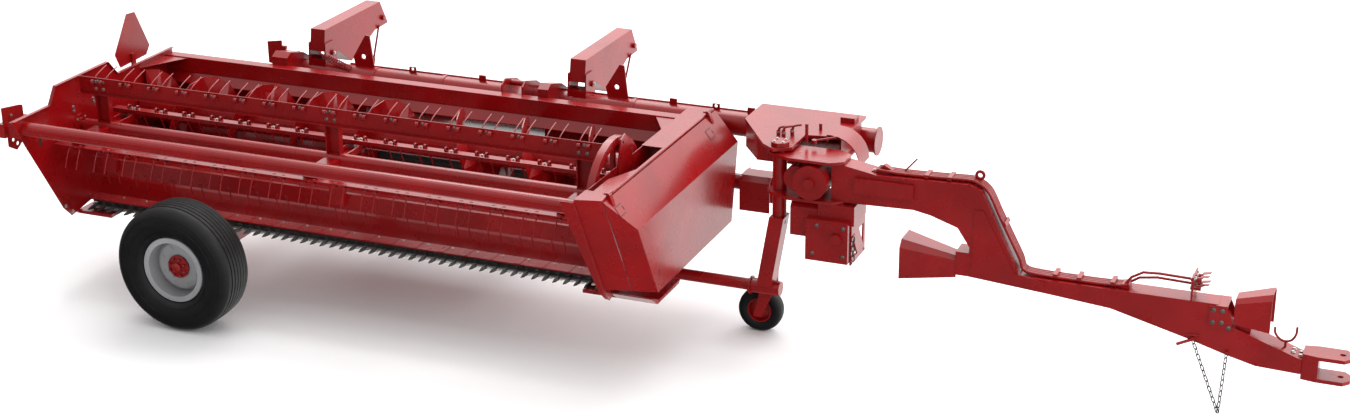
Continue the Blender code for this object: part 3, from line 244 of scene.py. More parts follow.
def box(name, low, high, mat=RED):
    # A plain block between two corners.
    (x, y, z), (p, q, r) = low, high
    return loft(name, [[(x, y, h), (p, y, h), (p, q, h), (x, q, h)] for h in (z, r)], mat)


def rod(name, start, end, radius, sides=16, mat=RED):
    # A round bar between two points.
    shape = bmesh.new()
    run = Vector(end) - Vector(start)
    bmesh.ops.create_cone(shape, cap_ends=True, segments=sides, radius1=radius, radius2=radius,
                          depth=run.length)
    bmesh.ops.rotate(shape, cent=(0, 0, 0), matrix=run.to_track_quat("Z", "Y").to_matrix(), verts=shape.verts)
    bmesh.ops.translate(shape, vec=(Vector(start) + Vector(end)) / 2, verts=shape.verts)
    return solid(name, shape, mat)


def pin(name, axis, middle, reach, radius, sides=16, mat=RED):
    # A round bar along the named axis, with the same reach to both sides of its middle.
    place = "XYZ".index(axis)
    start, end = list(middle), list(middle)
    start[place] -= reach
    end[place] += reach
    return rod(name, start, end, radius, sides, mat)


def plate(name, points, thickness, axis, middle, mat=RED):
    # A flat outline of given thickness, its middle plane at middle on the named axis.
    turn = AXIS_TURNS[axis]
    rings = [[turn @ Vector((u, v, middle * FLAT_SIGNS[axis] + side * thickness / 2)) for u, v in points]
             for side in (-1, 1)]
    return loft(name, rings, mat)


def sweep_rings(points, radius, sides):
    # Rings of a round section along points, each square to the path, without twist.
    spots = [Vector(place) for place in points]
    ways = []
    for index in range(len(spots)):
        before = spots[max(index - 1, 0)]
        after = spots[min(index + 1, len(spots) - 1)]
        ways.append((after - before).normalized())
    normal = ways[0].orthogonal().normalized()
    rings = []
    for spot, way in zip(spots, ways):
        normal = (normal - way * normal.dot(way)).normalized()
        other = way.cross(normal)
        turns = [2 * pi * side / sides for side in range(sides)]
        rings.append([spot + (normal * cos(turn) + other * sin(turn)) * radius for turn in turns])
    return rings


def pipe(name, points, radius, sides=10, mat=RED):
    # A round tube or rod that follows points.
    return loft(name, sweep_rings(points, radius, sides), mat)


def smooth_path(points, steps=6):
    # A Catmull-Rom curve through the points.
    spots = [Vector(place) for place in points]
    spots = [spots[0] * 2 - spots[1]] + spots + [spots[-1] * 2 - spots[-2]]
    path = []
    for a, b, c, d in zip(spots, spots[1:], spots[2:], spots[3:]):
        for index in range(steps):
            t = index / steps
            path.append(((b * 2) + (c - a) * t + (a * 2 - b * 5 + c * 4 - d) * t * t
                         + (b * 3 - a - c * 3 + d) * t ** 3) / 2)
    return path + [spots[-2]]


def turned(name, profile, centre, axis, steps, mat=RED):
    # Turns a closed profile of (radius, along) points round the X or Y axis.
    rings = []
    for index in range(steps):
        angle = 2 * pi * index / steps
        ring = []
        for radius, along in profile:
            u, v = radius * cos(angle), radius * sin(angle)
            spot = (along, u, v) if axis == "X" else (u, along, v)
            ring.append(Vector(spot) + Vector(centre))
        rings.append(ring)
    shape, _ = skin(rings, closed=True)
    return solid(name, shape, mat)


def fuse(obj, *others):
    # Joins pieces of one node into one mesh, each with its own material.
    shape = bmesh.new()
    mats = []
    for piece in (obj, *others):
        own = list(piece.data.materials) or [RED]
        start = len(shape.faces)
        mesh = piece.data.copy()
        mesh.transform(piece.matrix_basis)
        shape.from_mesh(mesh)
        shape.faces.ensure_lookup_table()
        for mat in own:
            if mat not in mats:
                mats.append(mat)
        for face in shape.faces[start:]:
            face.material_index = mats.index(own[face.material_index])
    mesh = bpy.data.meshes.new(obj.name)
    shape.to_mesh(mesh)
    shape.free()
    name = obj.name
    for piece in (obj, *others):
        bpy.data.objects.remove(piece, do_unlink=True)
    made = link(bpy.data.objects.new(name, mesh))
    for mat in mats:
        made.data.materials.append(mat)
    return made


def cut(obj, *cutters):
    for cutter in cutters:
        boolean = obj.modifiers.new("cut", "BOOLEAN")
        boolean.operation = "DIFFERENCE"
        boolean.solver = "EXACT"
        boolean.object = cutter
        settle(obj)
        bpy.data.objects.remove(cutter, do_unlink=True)
    return obj


def settle(obj):
    # Fixes the object's modifiers into its mesh.
    bpy.context.view_layer.update()
    depsgraph = bpy.context.evaluated_depsgraph_get()
    mesh = bpy.data.meshes.new_from_object(obj.evaluated_get(depsgraph))
    obj.modifiers.clear()
    obj.data = mesh
    return obj


def spread_shares(across, up, shares):
    # Places on a flat rectangle, given as shares of its width and height.
    return [(across[0] + (across[1] - across[0]) * a, up[0] + (up[1] - up[0]) * u) for a, u in shares]


def dress(obj, body, nodes=(), edge=EDGE):
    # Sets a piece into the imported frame, softens its edges and hangs it on its body.
    obj.data.transform(Matrix.Translation((-MIDDLE_X, -MIDDLE_Y, 0)) @ obj.matrix_basis)
    obj.matrix_basis = Matrix.Identity(4)
    if edge:
        bevel = obj.modifiers.new("edges", "BEVEL")
        bevel.width = edge
        bevel.segments = 2
        bevel.limit_method = "ANGLE"
        bevel.angle_limit = CREASE
        bevel.use_clamp_overlap = True
        settle(obj)
    obj.data.shade_smooth()
    obj.data.set_sharp_from_angle(angle=CREASE)
    if edge:
        weighted = obj.modifiers.new("normals", "WEIGHTED_NORMAL")
        weighted.keep_sharp = True
        settle(obj)
    obj.name = "look_" + obj.name
    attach(obj, body)
    if nodes:
        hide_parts(*nodes)
    return obj


# Sizes and pieces of the model

GAP = 0.0003              # between two pieces that touch
OVERRUN = 0.02            # how far a cutter runs past a face
SHEET = 0.006             # pressed sheet
PLATE = 0.012             # bracket plate
HEAVY_PLATE = 0.020       # plate that carries load
RUNNING_GAP = 0.012       # between moving and fixed pieces
WELD = 0.0001             # merge distance
REAR_REACH = -0.34        # outer end of the left light bracket, x
HITCH_REACH = 8.62        # front of the hitch clevis, x
PANEL_LEFT_X = -0.075
HEADER_WIDTH = 4.175
PANEL_TIP_Y = -0.60
HEADER_BACK_Y = 1.27
HEADER_TOP_Z = 1.372
HEADER_LOW_Z = 0.507
REEL_Y = 0.12
REEL_Z = 1.13
REEL_END_GAP = 0.05
REEL_TUBE_RADIUS = 0.045
SLAT_OUTER_RADIUS = 0.37
SLAT_HEIGHT = 0.12
SLAT_THICKNESS = 0.006
SLAT_LIP = 0.030
REEL_SPIDERS = 3
SPIDER_INSET = 0.17
SPIDER_ARM_WIDTH = 0.110
SPIDER_ARM_DEPTH = 0.045
SPIDER_ARM_WALL = 0.010
REEL_SHAFT_RADIUS = 0.025
REEL_RING_GAP = 0.025
REEL_RING_WIDTH = 0.050
REEL_RING_RADIUS = 0.410
REEL_RING_BAND = 0.050
REEL_SPOKE_DEPTH = 0.040
TINE_WIRE = 0.009
TINE_LEG_SPACING = 0.090
TINE_PITCH = 0.230
TINE_INSET = 0.16
AUGER_Y = 0.87
AUGER_Z = 1.04
ROLL_LENGTH = 1.42
ROLL_MID_X = 2.32
GUARD_PITCH = 0.0762
GUARD_COUNT = 54
GUARD_LENGTH = 0.125
GUARD_RADIUS = 0.020
CUTTER_BAR_DEPTH = 0.095
CUTTER_BAR_THICKNESS = 0.016
CUTTER_Z = 0.525
REAR_BEAM_TOP_Z = 1.335
REAR_BEAM_DEPTH = 0.085
REAR_BEAM_HEIGHT = 0.115
SHIELD_INNER_X = PANEL_LEFT_X + HEADER_WIDTH + SHEET / 2 + GAP
SHIELD_TOP_WIDTH = 0.165
SHIELD_FULL_WIDTH = 0.335
SHIELD_TOP_Z = 1.385
SHIELD_BEND_Z = 1.157
SHIELD_LOW_Z = 0.615
# An end plane's y at the inner top corner, and the y it gains for each unit up and outwards
SHIELD_FRONT = (-0.60, -0.565, 0.24)
SHIELD_REAR = (1.25, 0.22, 0.45)
TUBE_Y = 1.50
TUBE_Z = 1.23
TUBE_RADIUS = 0.084
TUBE_LEFT_X = 0.70
TUBE_RIGHT_X = 5.395
TUBE_END_PLATE_RADIUS = 0.100
PIVOT_X = 4.955
PIVOT_Y = 0.75
PIVOT_RADIUS = 0.047
PIVOT_TOP_Z = 1.415
PIVOT_LOW_Z = 0.86
PIVOT_FRAME_TOP_Z = 1.400
PIVOT_FRAME_HEIGHT = 0.20
PIVOT_FRAME_LEFT_X = 4.56
LEG_WIDTH = 0.10
LEG_DEPTH = 0.13
LEG_LEAN = -0.085
LINK_Z = 0.385
LINK_SLEEVE_RADIUS = 0.050
LINK_SLEEVE_LENGTH = 0.20
SMALL_WHEEL_X = 4.78
SMALL_WHEEL_Y = 0.90
SMALL_WHEEL_RADIUS = 0.155
SMALL_WHEEL_WIDTH = 0.105
AXLE_X = 1.09
WHEEL_RADIUS = 0.446
TYRE_WIDTH = 0.315
RIM_RADIUS = 0.232
FRONT_WHEEL_Y = -0.44
REAR_WHEEL_Y = 1.99
ARM_WIDTH = 0.12
ARM_FRONT_Y = 1.46
ARM_REAR_Y = 2.36
ARM_HEEL = 0.05
ARM_KNEE_Z = 1.225
ARM_TOP_Z = 1.565
ARM_X = (1.075, 3.185)
TONGUE_WIDTH = 0.15
HEAD_PLATE_WIDTH = 0.26
HEAD_TOP_Z = 1.355
HEAD_LOW_Z = 1.085
HEAD_BACK = 0.085
HEAD_REACH = 0.46
TONGUE_HEAD_X = 5.33
TONGUE_FOOT_Z = 0.375
TONGUE_FRONT_X = 8.33
CLEVIS_WIDTH = 0.17
CLEVIS_PLATE = 0.025
CLEVIS_LOW_Z = 0.340
CLEVIS_HEIGHT = 0.170
CLEVIS_HOLE_RADIUS = 0.017
MIDDLE_X = (REAR_REACH + HITCH_REACH) / 2
MIDDLE_Y = (PANEL_TIP_Y + ARM_REAR_Y + ARM_HEEL) / 2
PANEL_RIGHT_X = PANEL_LEFT_X + HEADER_WIDTH
PANEL_SHARES = (
    # along the header, up the header; the hump clears the reel
    (0.000, 1.000), (0.210, 1.000), (0.251, 1.134), (0.575, 1.134), (0.628, 1.000),
    (1.000, 1.000), (1.000, 0.340), (0.880, 0.165), (0.390, 0.046), (0.272, 0.000),
    (0.229, 0.098), (0.056, 0.760),
)
TOP_EDGE_POINTS = 6
PLAIN_PANEL_SHARES = PANEL_SHARES[:1] + PANEL_SHARES[5:]
FLANGE_WIDTH = 0.022
FLANGE_INSET = 0.001
FRONT_FLANGE_ROWS = (
    # along the header, up the header, width as a share
    (0.000, 0.990, 1.00), (0.056, 0.760, 0.85), (0.229, 0.098, 0.40), (0.268, 0.010, 0.30),
)
FRONT_FLANGE_WIDTH = 0.095
STOP_PLATE = 0.012
STOP_SPANS = ((0.07, 0.31), (1.27, 1.555))
STOP_SHARES = ((0.0, 0.0), (1.0, 0.0), (1.0, 0.30), (0.50, 1.0), (0.22, 0.92), (0.0, 0.35))
STOP_HOLE = (0.15, 1.505)
STOP_HOLE_RADIUS = 0.013


def panel_spots(shares):
    return spread_shares((PANEL_TIP_Y, HEADER_BACK_Y), (HEADER_LOW_Z, HEADER_TOP_Z), shares)


def header_left_panel():
    # A sheet with a hump over the reel and a flange turned in along its top edge.
    panel = plate("header_left_panel", panel_spots(PANEL_SHARES), SHEET, "X", PANEL_LEFT_X)
    edge = [(y, z - FLANGE_INSET) for y, z in panel_spots(PANEL_SHARES)[:TOP_EDGE_POINTS]]
    band = edge + [(y, z - SHEET) for y, z in reversed(edge)]
    flange = plate("flange", band, FLANGE_WIDTH, "X", PANEL_LEFT_X + FLANGE_WIDTH / 2)
    return fuse(panel, flange)


def header_right_panel():
    # Flat on top, with a tapering flange turned in along its front edge and the reel stop's plate.
    panel = plate("header_right_panel", panel_spots(PLAIN_PANEL_SHARES), SHEET, "X", PANEL_RIGHT_X)
    rings = []
    for along, up, width_share in FRONT_FLANGE_ROWS:
        (y, z), = panel_spots(((along, up),))
        inner = PANEL_RIGHT_X - FRONT_FLANGE_WIDTH * width_share
        near, far = y + FLANGE_INSET, y + FLANGE_INSET + SHEET
        rings.append([(inner, near, z), (PANEL_RIGHT_X, near, z), (PANEL_RIGHT_X, far, z), (inner, far, z)])
    panel = fuse(panel, loft("flange", rings))
    outline = spread_shares(*STOP_SPANS, STOP_SHARES)
    middle = PANEL_RIGHT_X + STOP_PLATE / 2
    stop = plate("stop", outline, STOP_PLATE, "X", middle)
    hole = pin("hole", "X", (middle, *STOP_HOLE), STOP_PLATE, STOP_HOLE_RADIUS)
    return fuse(panel, cut(stop, hole))


INNER_LEFT = PANEL_LEFT_X + SHEET / 2 + GAP
INNER_RIGHT = PANEL_RIGHT_X - SHEET / 2 - GAP
INNER_MIDDLE = (INNER_LEFT + INNER_RIGHT) / 2
INNER_WIDTH = INNER_RIGHT - INNER_LEFT
PAN_SHEET = 0.008
PAN_LIP_Y = 0.115
PAN_BACK_Y = 1.215
PAN_LIP_Z = 0.568
SKIRT_DROP = 0.065
SKIRT_REACH = 0.05
BEAM_GUSSET_ALONG = 0.20
BEAM_GUSSET_FORWARD = 0.33
BEAM_GUSSET_DROP = 0.010


def rear_beam():
    # The box beam along the header's top rear edge, with a slanted skirt and a flat gusset at each end.
    back = HEADER_BACK_Y - SHEET
    front = back - REAR_BEAM_DEPTH
    low = REAR_BEAM_TOP_Z - REAR_BEAM_HEIGHT
    beam = box("rear_beam", (INNER_LEFT, front, low), (INNER_RIGHT, back, REAR_BEAM_TOP_Z))
    root = front + SHEET * 2
    skirt = [(root, low + SHEET), (front - SKIRT_REACH, low - SKIRT_DROP),
             (front - SKIRT_REACH, low - SKIRT_DROP - SHEET), (root, low - SHEET)]
    beam = fuse(beam, plate("skirt", skirt, INNER_WIDTH, "X", INNER_MIDDLE))
    for wall, side in ((INNER_LEFT, 1), (INNER_RIGHT, -1)):
        corner = [(wall, front - BEAM_GUSSET_FORWARD), (wall + side * BEAM_GUSSET_ALONG, root), (wall, root)]
        beam = fuse(beam, plate("gusset", corner, SHEET, "Z", REAR_BEAM_TOP_Z - BEAM_GUSSET_DROP))
    return beam


SHIELD_SHEET = 0.005
COVER_STANDOFF = 0.006
COVER_EDGE_X = SHIELD_INNER_X + SHIELD_TOP_WIDTH + SHIELD_SHEET


def shield_end(front, x, z):
    # The front and rear ends are flat planes, raked and skewed.
    start, rise, skew = SHIELD_FRONT if front else SHIELD_REAR
    return start + rise * (z - SHIELD_TOP_Z) + skew * (x - SHIELD_INNER_X)


END_STEP_SHARE = 1.2


def shield_ring(front, wall):
    # The drive shield's cross section at its front or rear end, for its outside or its hollow.
    left = SHIELD_INNER_X - (OVERRUN if wall else 0)
    mid = SHIELD_INNER_X + SHIELD_TOP_WIDTH - wall / 2
    out = SHIELD_INNER_X + SHIELD_FULL_WIDTH - wall
    low = SHIELD_LOW_Z - (OVERRUN if wall else 0)
    top = SHIELD_TOP_Z - wall
    bend = SHIELD_BEND_Z - wall / 2
    step = wall * END_STEP_SHARE if front else -wall * END_STEP_SHARE
    return [(x, shield_end(front, x, z) + step, z)
            for x, z in ((left, top), (mid, top), (out, bend), (out, low), (left, low))]


def shield_shell(name):
    shell = loft(name, [shield_ring(True, 0), shield_ring(False, 0)])
    hollow = loft("hollow", [shield_ring(True, SHIELD_SHEET), shield_ring(False, SHIELD_SHEET)])
    return cut(shell, hollow)


def shield_side(name, left, right):
    # A block that takes away the shield's shell between two places across it.
    return box(name, (left, SHIELD_FRONT[0] - OVERRUN, SHIELD_LOW_Z - OVERRUN),
               (right, SHIELD_REAR[0] + SHIELD_FULL_WIDTH, SHIELD_TOP_Z + OVERRUN))


HINGE_PIN_RADIUS = 0.006
HINGE_BARREL_RADIUS = 0.011
HINGE_LENGTH = 0.070
HINGE_LEAF = 0.040
HINGE_LIFT = 0.0116              # the pin's height over the sheet, clear of the barrels
HINGE_SHARES = (0.06, 0.94)      # places along the seam
HINGE_X = COVER_EDGE_X + COVER_STANDOFF / 2
HINGE_Z = SHIELD_TOP_Z + HINGE_LIFT
RECESS_STEP = 0.053
RECESS_WIDTH = 0.147
RECESS_DEPTH = 0.03
RECESS_STARTS_Y = (-0.42, -0.20, 0.03, 0.46)


def hinge_places():
    front = shield_end(True, HINGE_X, SHIELD_TOP_Z)
    back = shield_end(False, HINGE_X, SHIELD_TOP_Z)
    return [front + (back - front) * share for share in HINGE_SHARES]


def drive_shield():
    # The fixed part: the top, both ends and the pins that the cover turns on. The outer side is the cover.
    shell = shield_shell("drive_shield")
    shell = cut(shell, shield_side("side", COVER_EDGE_X, SHIELD_INNER_X + SHIELD_FULL_WIDTH + OVERRUN))
    start, step, wide, stop = RECESS_STARTS_Y
    inner = SHIELD_INNER_X - OVERRUN
    recess = [(inner, start), (SHIELD_INNER_X + RECESS_STEP, start), (SHIELD_INNER_X + RECESS_STEP, step),
              (SHIELD_INNER_X + RECESS_WIDTH, wide), (SHIELD_INNER_X + RECESS_WIDTH, stop), (inner, stop)]
    shell = cut(shell, plate("recess", recess, RECESS_DEPTH, "Z", SHIELD_TOP_Z))
    for y in hinge_places():
        leaf = box("leaf", (HINGE_X - HINGE_LEAF, y, SHIELD_TOP_Z - SHIELD_SHEET / 2),
                   (HINGE_X, y + HINGE_LENGTH / 2 - GAP, HINGE_Z - HINGE_BARREL_RADIUS / 2))
        barrel = rod("barrel", (HINGE_X, y, HINGE_Z), (HINGE_X, y + HINGE_LENGTH / 2, HINGE_Z),
                     HINGE_BARREL_RADIUS, sides=12)
        pin = rod("pin", (HINGE_X, y - HINGE_LENGTH / 2, HINGE_Z), (HINGE_X, y + HINGE_LENGTH / 4, HINGE_Z),
                  HINGE_PIN_RADIUS, sides=12)
        shell = fuse(shell, fuse(leaf, barrel, pin))
    return shell


LAMP_RAIL_LOW = (-0.43, 1.17)
LAMP_RAIL_HIGH = (-0.18, 1.27)
LAMP_RAIL_DEPTH = 0.05
LAMP_RAIL_WALL = 0.010
LAMP_ARM_LOW = (-0.40, 1.19)
LAMP_ARM_HIGH = (-0.34, 1.25)
LAMP_BLOCK_LOW = (-0.52, 1.22)
LAMP_BLOCK_HIGH = (-0.34, 1.33)
LAMP_BLOCK_LENGTH = 0.09
LAMP_TOP_SPANS = ((-0.43, -0.21), (1.25, 1.39))
LAMP_TOP_SHARES = ((0.0, 0.0), (1.0, 0.0), (1.0, 0.70), (0.85, 0.78), (0.0, 1.0))
HOLED_PLATE_SPANS = ((-0.40, -0.22), (1.05, 1.19))
HOLED_PLATE_SHARES = ((0.0, 1.0), (0.0, 0.35), (0.45, 0.0), (1.0, 0.45), (1.0, 1.0))
HOLED_PLATE_HOLES = ((-0.345, 1.135), (-0.305, 1.095), (-0.265, 1.135))
HOLED_PLATE_HOLE_RADIUS = 0.014


def light_bracket():
    # A channel held off the left end panel, with a blank lamp plate above it and a holed plate below.
    inner = PANEL_LEFT_X - SHEET / 2 - GAP
    rail = box("light_bracket", (REAR_REACH, *LAMP_RAIL_LOW), (REAR_REACH + LAMP_RAIL_DEPTH, *LAMP_RAIL_HIGH))
    low = [v + LAMP_RAIL_WALL for v in LAMP_RAIL_LOW]
    high = [v - LAMP_RAIL_WALL for v in LAMP_RAIL_HIGH]
    rail = cut(rail, box("channel", (REAR_REACH - OVERRUN, *low),
                         (REAR_REACH + LAMP_RAIL_DEPTH - LAMP_RAIL_WALL, *high)))
    back = REAR_REACH + LAMP_RAIL_DEPTH - LAMP_RAIL_WALL / 2
    arm = box("arm", (back, *LAMP_ARM_LOW), (inner - LAMP_RAIL_WALL, *LAMP_ARM_HIGH))
    block = box("block", (inner - LAMP_BLOCK_LENGTH, *LAMP_BLOCK_LOW), (inner, *LAMP_BLOCK_HIGH))
    top = plate("top", spread_shares(*LAMP_TOP_SPANS, LAMP_TOP_SHARES), SHEET, "X", back)
    holed = plate("holed", spread_shares(*HOLED_PLATE_SPANS, HOLED_PLATE_SHARES), SHEET, "X", back)
    for y, z in HOLED_PLATE_HOLES:
        holed = cut(holed, pin("hole", "X", (back, y, z), SHEET, HOLED_PLATE_HOLE_RADIUS, sides=10))
    return fuse(rail, arm, block, top, holed)


SHOE_SHEET = 0.024
SHOE_TOP_Z = CUTTER_Z - GAP - GUARD_RADIUS
SHOE_REAR_Y = 0.41
SHOE_SOLE_FRONT_Y = 0.02
SHOE_NOSE_Y = -0.08
SHOE_NOSE_RISE = 0.055
SHOE_ROWS = (
    # name, inner edge, outer edge, way out
    ("skid_shoe_left", 0.18, -0.11, -1),
    ("skid_shoe_right", 3.86, 4.39, 1),
)


def skid_shoes():
    # A flat sole under the cutter bar's end, turned up in front where it stands outside the end panel.
    made = []
    for name, inner, outer, way in SHOE_ROWS:
        low = SHOE_TOP_Z - SHOE_SHEET
        sole = [(SHOE_SOLE_FRONT_Y, SHOE_TOP_Z), (SHOE_REAR_Y, SHOE_TOP_Z), (SHOE_REAR_Y - SHOE_SHEET, low),
                (SHOE_SOLE_FRONT_Y, low)]
        shoe = plate(name, sole, abs(outer - inner), "X", (inner + outer) / 2)
        wall = (PANEL_RIGHT_X if way > 0 else PANEL_LEFT_X) + way * (SHEET / 2 + GAP)
        tip = SHOE_TOP_Z + SHOE_NOSE_RISE
        nose = [(SHOE_SOLE_FRONT_Y + SHOE_SHEET, SHOE_TOP_Z), (SHOE_SOLE_FRONT_Y, low),
                (SHOE_NOSE_Y, tip - SHEET), (SHOE_NOSE_Y, tip)]
        shoe = fuse(shoe, plate("nose", nose, abs(outer - wall) - GAP, "X", (wall + outer) / 2))
        made.append(shoe)
    return made


DRIVE_BOX_LOW = (3.88, 0.72)
DRIVE_BOX_HIGH = (4.09, 1.00)
DRIVE_SHAFT = (1.42, 0.84)
DRIVE_BOX_REAR_Y = 1.50
DRIVE_SHAFT_RADIUS = 0.055
DRIVE_HOOD_X = (4.46, 4.68)
DRIVE_HOOD_WIDTH = 0.20
DRIVE_HOOD_Z = (0.67, 0.92)


def header_gearbox():
    # The header's input behind its right end: a gearbox on the rear wall, a shaft housing and its hood.
    (left, low), (right, high) = DRIVE_BOX_LOW, DRIVE_BOX_HIGH
    y, z = DRIVE_SHAFT
    start = DRIVE_HOOD_X[0]
    body = box("header_gearbox", (left, PAN_BACK_Y + SHEET + 2 * GAP, low), (right, DRIVE_BOX_REAR_Y, high))
    housing = rod("housing", (right - OVERRUN, y, z), (start + HEAVY_PLATE, y, z), DRIVE_SHAFT_RADIUS)
    half = DRIVE_HOOD_WIDTH / 2
    low, high = DRIVE_HOOD_Z
    cover = hood("cover", y, [(x, half, low, high) for x in DRIVE_HOOD_X])
    end = box("end", (start + SHEET / 2, y - half + SHEET / 2, low + SHEET),
              (start + SHEET * 2, y + half - SHEET / 2, high - SHEET / 2))
    return fuse(body, housing, fuse(cover, end))


REEL_LEFT = PANEL_LEFT_X + REEL_END_GAP
REEL_RIGHT = PANEL_RIGHT_X - REEL_RING_GAP - REEL_RING_WIDTH
SLAT_INNER_RADIUS = SLAT_OUTER_RADIUS - SLAT_HEIGHT
SPIDER_REACH = SLAT_OUTER_RADIUS - SLAT_HEIGHT / 3
TINE_ROOT_SHARE = 0.960
BAT_ROWS = (
    # name, quarter turns from the top, the tine's tip as shares of the slat's outer radius: out, back
    ("reel_bat_top", 0, (1.105, 0.450)), ("reel_bat_back", 1, (1.160, 0.400)),
    ("reel_bat_bottom", 2, (1.215, -0.060)), ("reel_bat_front", 3, (1.150, -0.400)),
)


def spider_places():
    first = REEL_LEFT + SPIDER_INSET
    last = REEL_RIGHT - SPIDER_INSET
    return [first + (last - first) * i / (REEL_SPIDERS - 1) for i in range(REEL_SPIDERS)]


def channel_arm(x, turn):
    # One bat arm of a spider: a channel that stands up, turned round the reel's axis.
    half, deep = SPIDER_ARM_WIDTH / 2, SPIDER_ARM_DEPTH / 2
    wall = SPIDER_ARM_WALL
    outline = [(x - half, -deep), (x - half + wall, -deep), (x - half + wall, deep - wall),
               (x + half - wall, deep - wall), (x + half - wall, -deep), (x + half, -deep),
               (x + half, deep), (x - half, deep)]
    root = deep + 2 * GAP
    arm = plate("arm", outline, SPIDER_REACH - root, "Z", (SPIDER_REACH + root) / 2)
    arm.data.transform(Matrix.Translation(arm.location))
    arm.data.transform(Matrix.Rotation(turn, 4, "X"))
    arm.location = (0, REEL_Y, REEL_Z)
    return arm


def reel_ring():
    # The spoked guide ring at the reel's right end.
    left = REEL_RIGHT + GAP
    right = left + REEL_RING_WIDTH
    inner = REEL_RING_RADIUS - REEL_RING_BAND
    half = REEL_RING_WIDTH / 2
    profile = [(inner, half), (REEL_RING_RADIUS, half), (REEL_RING_RADIUS, -half), (inner, -half)]
    ring = turned("ring", profile, ((left + right) / 2, REEL_Y, REEL_Z), "X", 28)
    deep = REEL_SPOKE_DEPTH / 2
    reach = REEL_RING_RADIUS - REEL_RING_BAND / 2
    spoke_left, spoke_right = left + REEL_RING_WIDTH / 4, right - REEL_RING_WIDTH / 4
    upright = box("spoke", (spoke_left, REEL_Y - deep, REEL_Z - reach),
                  (spoke_right, REEL_Y + deep, REEL_Z + reach))
    level = box("spoke", (spoke_left + GAP, REEL_Y - reach, REEL_Z - deep),
                (spoke_right - GAP, REEL_Y + reach, REEL_Z + deep))
    return fuse(ring, upright, level)


def reel_core():
    # The reel's tube and shaft, three spiders of four arms, and the guide ring.
    tube = rod("reel_spiders", (REEL_LEFT, REEL_Y, REEL_Z), (REEL_RIGHT + REEL_RING_WIDTH, REEL_Y, REEL_Z),
               REEL_TUBE_RADIUS)
    shaft = rod("shaft", (PANEL_LEFT_X - SHEET * 2, REEL_Y, REEL_Z),
                (PANEL_RIGHT_X + SHEET * 2, REEL_Y, REEL_Z), REEL_SHAFT_RADIUS)
    tube = fuse(tube, shaft)
    for x in spider_places():
        for _, turns, _ in BAT_ROWS:
            tube = fuse(tube, channel_arm(x, -turns * pi / 2))
    return fuse(tube, reel_ring())


HOUSING_BACK_Y = 1.66
HOUSING_TOP_Z = 1.135
HOUSING_LOW_Z = 0.52
HOUSING_SHARES = ((0, 1), (1, 0.55), (1, 0.0), (0, 0.12))
WING_BACK_Y = 2.20
WING_IN = 0.22
WING_LOW_Z = 0.42
WING_HIGH_Z = 0.86
WING_SHEET = 0.005


def conditioner_housing():
    # Two side plates and a roof behind the header that carry the rolls, and the wings that shape the swath.
    front = PAN_BACK_Y + SHEET + 2 * GAP
    half = ROLL_LENGTH / 2 + SHEET
    outline = spread_shares((front, HOUSING_BACK_Y), (HOUSING_LOW_Z, HOUSING_TOP_Z), HOUSING_SHARES)
    sides = []
    for name, side in (("conditioner_housing", -1), ("side", 1)):
        middle = ROLL_MID_X + side * (half + SHEET)
        wall = plate(name, outline, SHEET * 2, "X", middle)
        tip = middle - side * WING_IN
        thick = side * WING_SHEET
        wing = [(middle, HOUSING_BACK_Y - OVERRUN), (middle + thick, HOUSING_BACK_Y - OVERRUN),
                (tip + thick, WING_BACK_Y), (tip, WING_BACK_Y)]
        if side > 0:
            wing.reverse()
        sides.append(fuse(wall, plate("wing", wing, WING_HIGH_Z - WING_LOW_Z, "Z",
                                      (WING_HIGH_Z + WING_LOW_Z) / 2)))
    inset = SHEET / 3
    (y_front, z_front), (y_back, z_back) = outline[:2]
    roof_line = [(y_front + inset, z_front - inset), (y_back - inset, z_back - inset),
                 (y_back - inset, z_back - inset - SHEET), (y_front + inset, z_front - inset - SHEET)]
    roof = plate("roof", roof_line, ROLL_LENGTH + SHEET * 4, "X", ROLL_MID_X)
    return fuse(sides[0], roof, sides[1])


TUBE_LUG_ROWS = (
    # share of the way along the tube, whether it has an eye
    (0.245, True), (0.366, False), (0.682, False), (0.750, True), (0.805, False),
)
LUG_WIDTH = 0.055
LUG_HEIGHT = 0.055
LUG_HOLE_RADIUS = 0.012
LUG_EYE_SHARE = 0.7              # height of the eye in its lug
UPRIGHT_SHARES = ((0.12, 0.0), (0.0, 0.37), (0.65, 1.0), (0.85, 0.98), (1.0, 0.15), (0.95, 0.0))
UPRIGHT_PLACES = (1.36, 3.39)
UPRIGHT_WIDTH = 0.17
UPRIGHT_LOW_Z = 1.28
UPRIGHT_TOP_Z = 1.56
UPRIGHT_HOLE_RADIUS = 0.018
UPRIGHT_HOLE_SHARES = (0.50, 0.40)


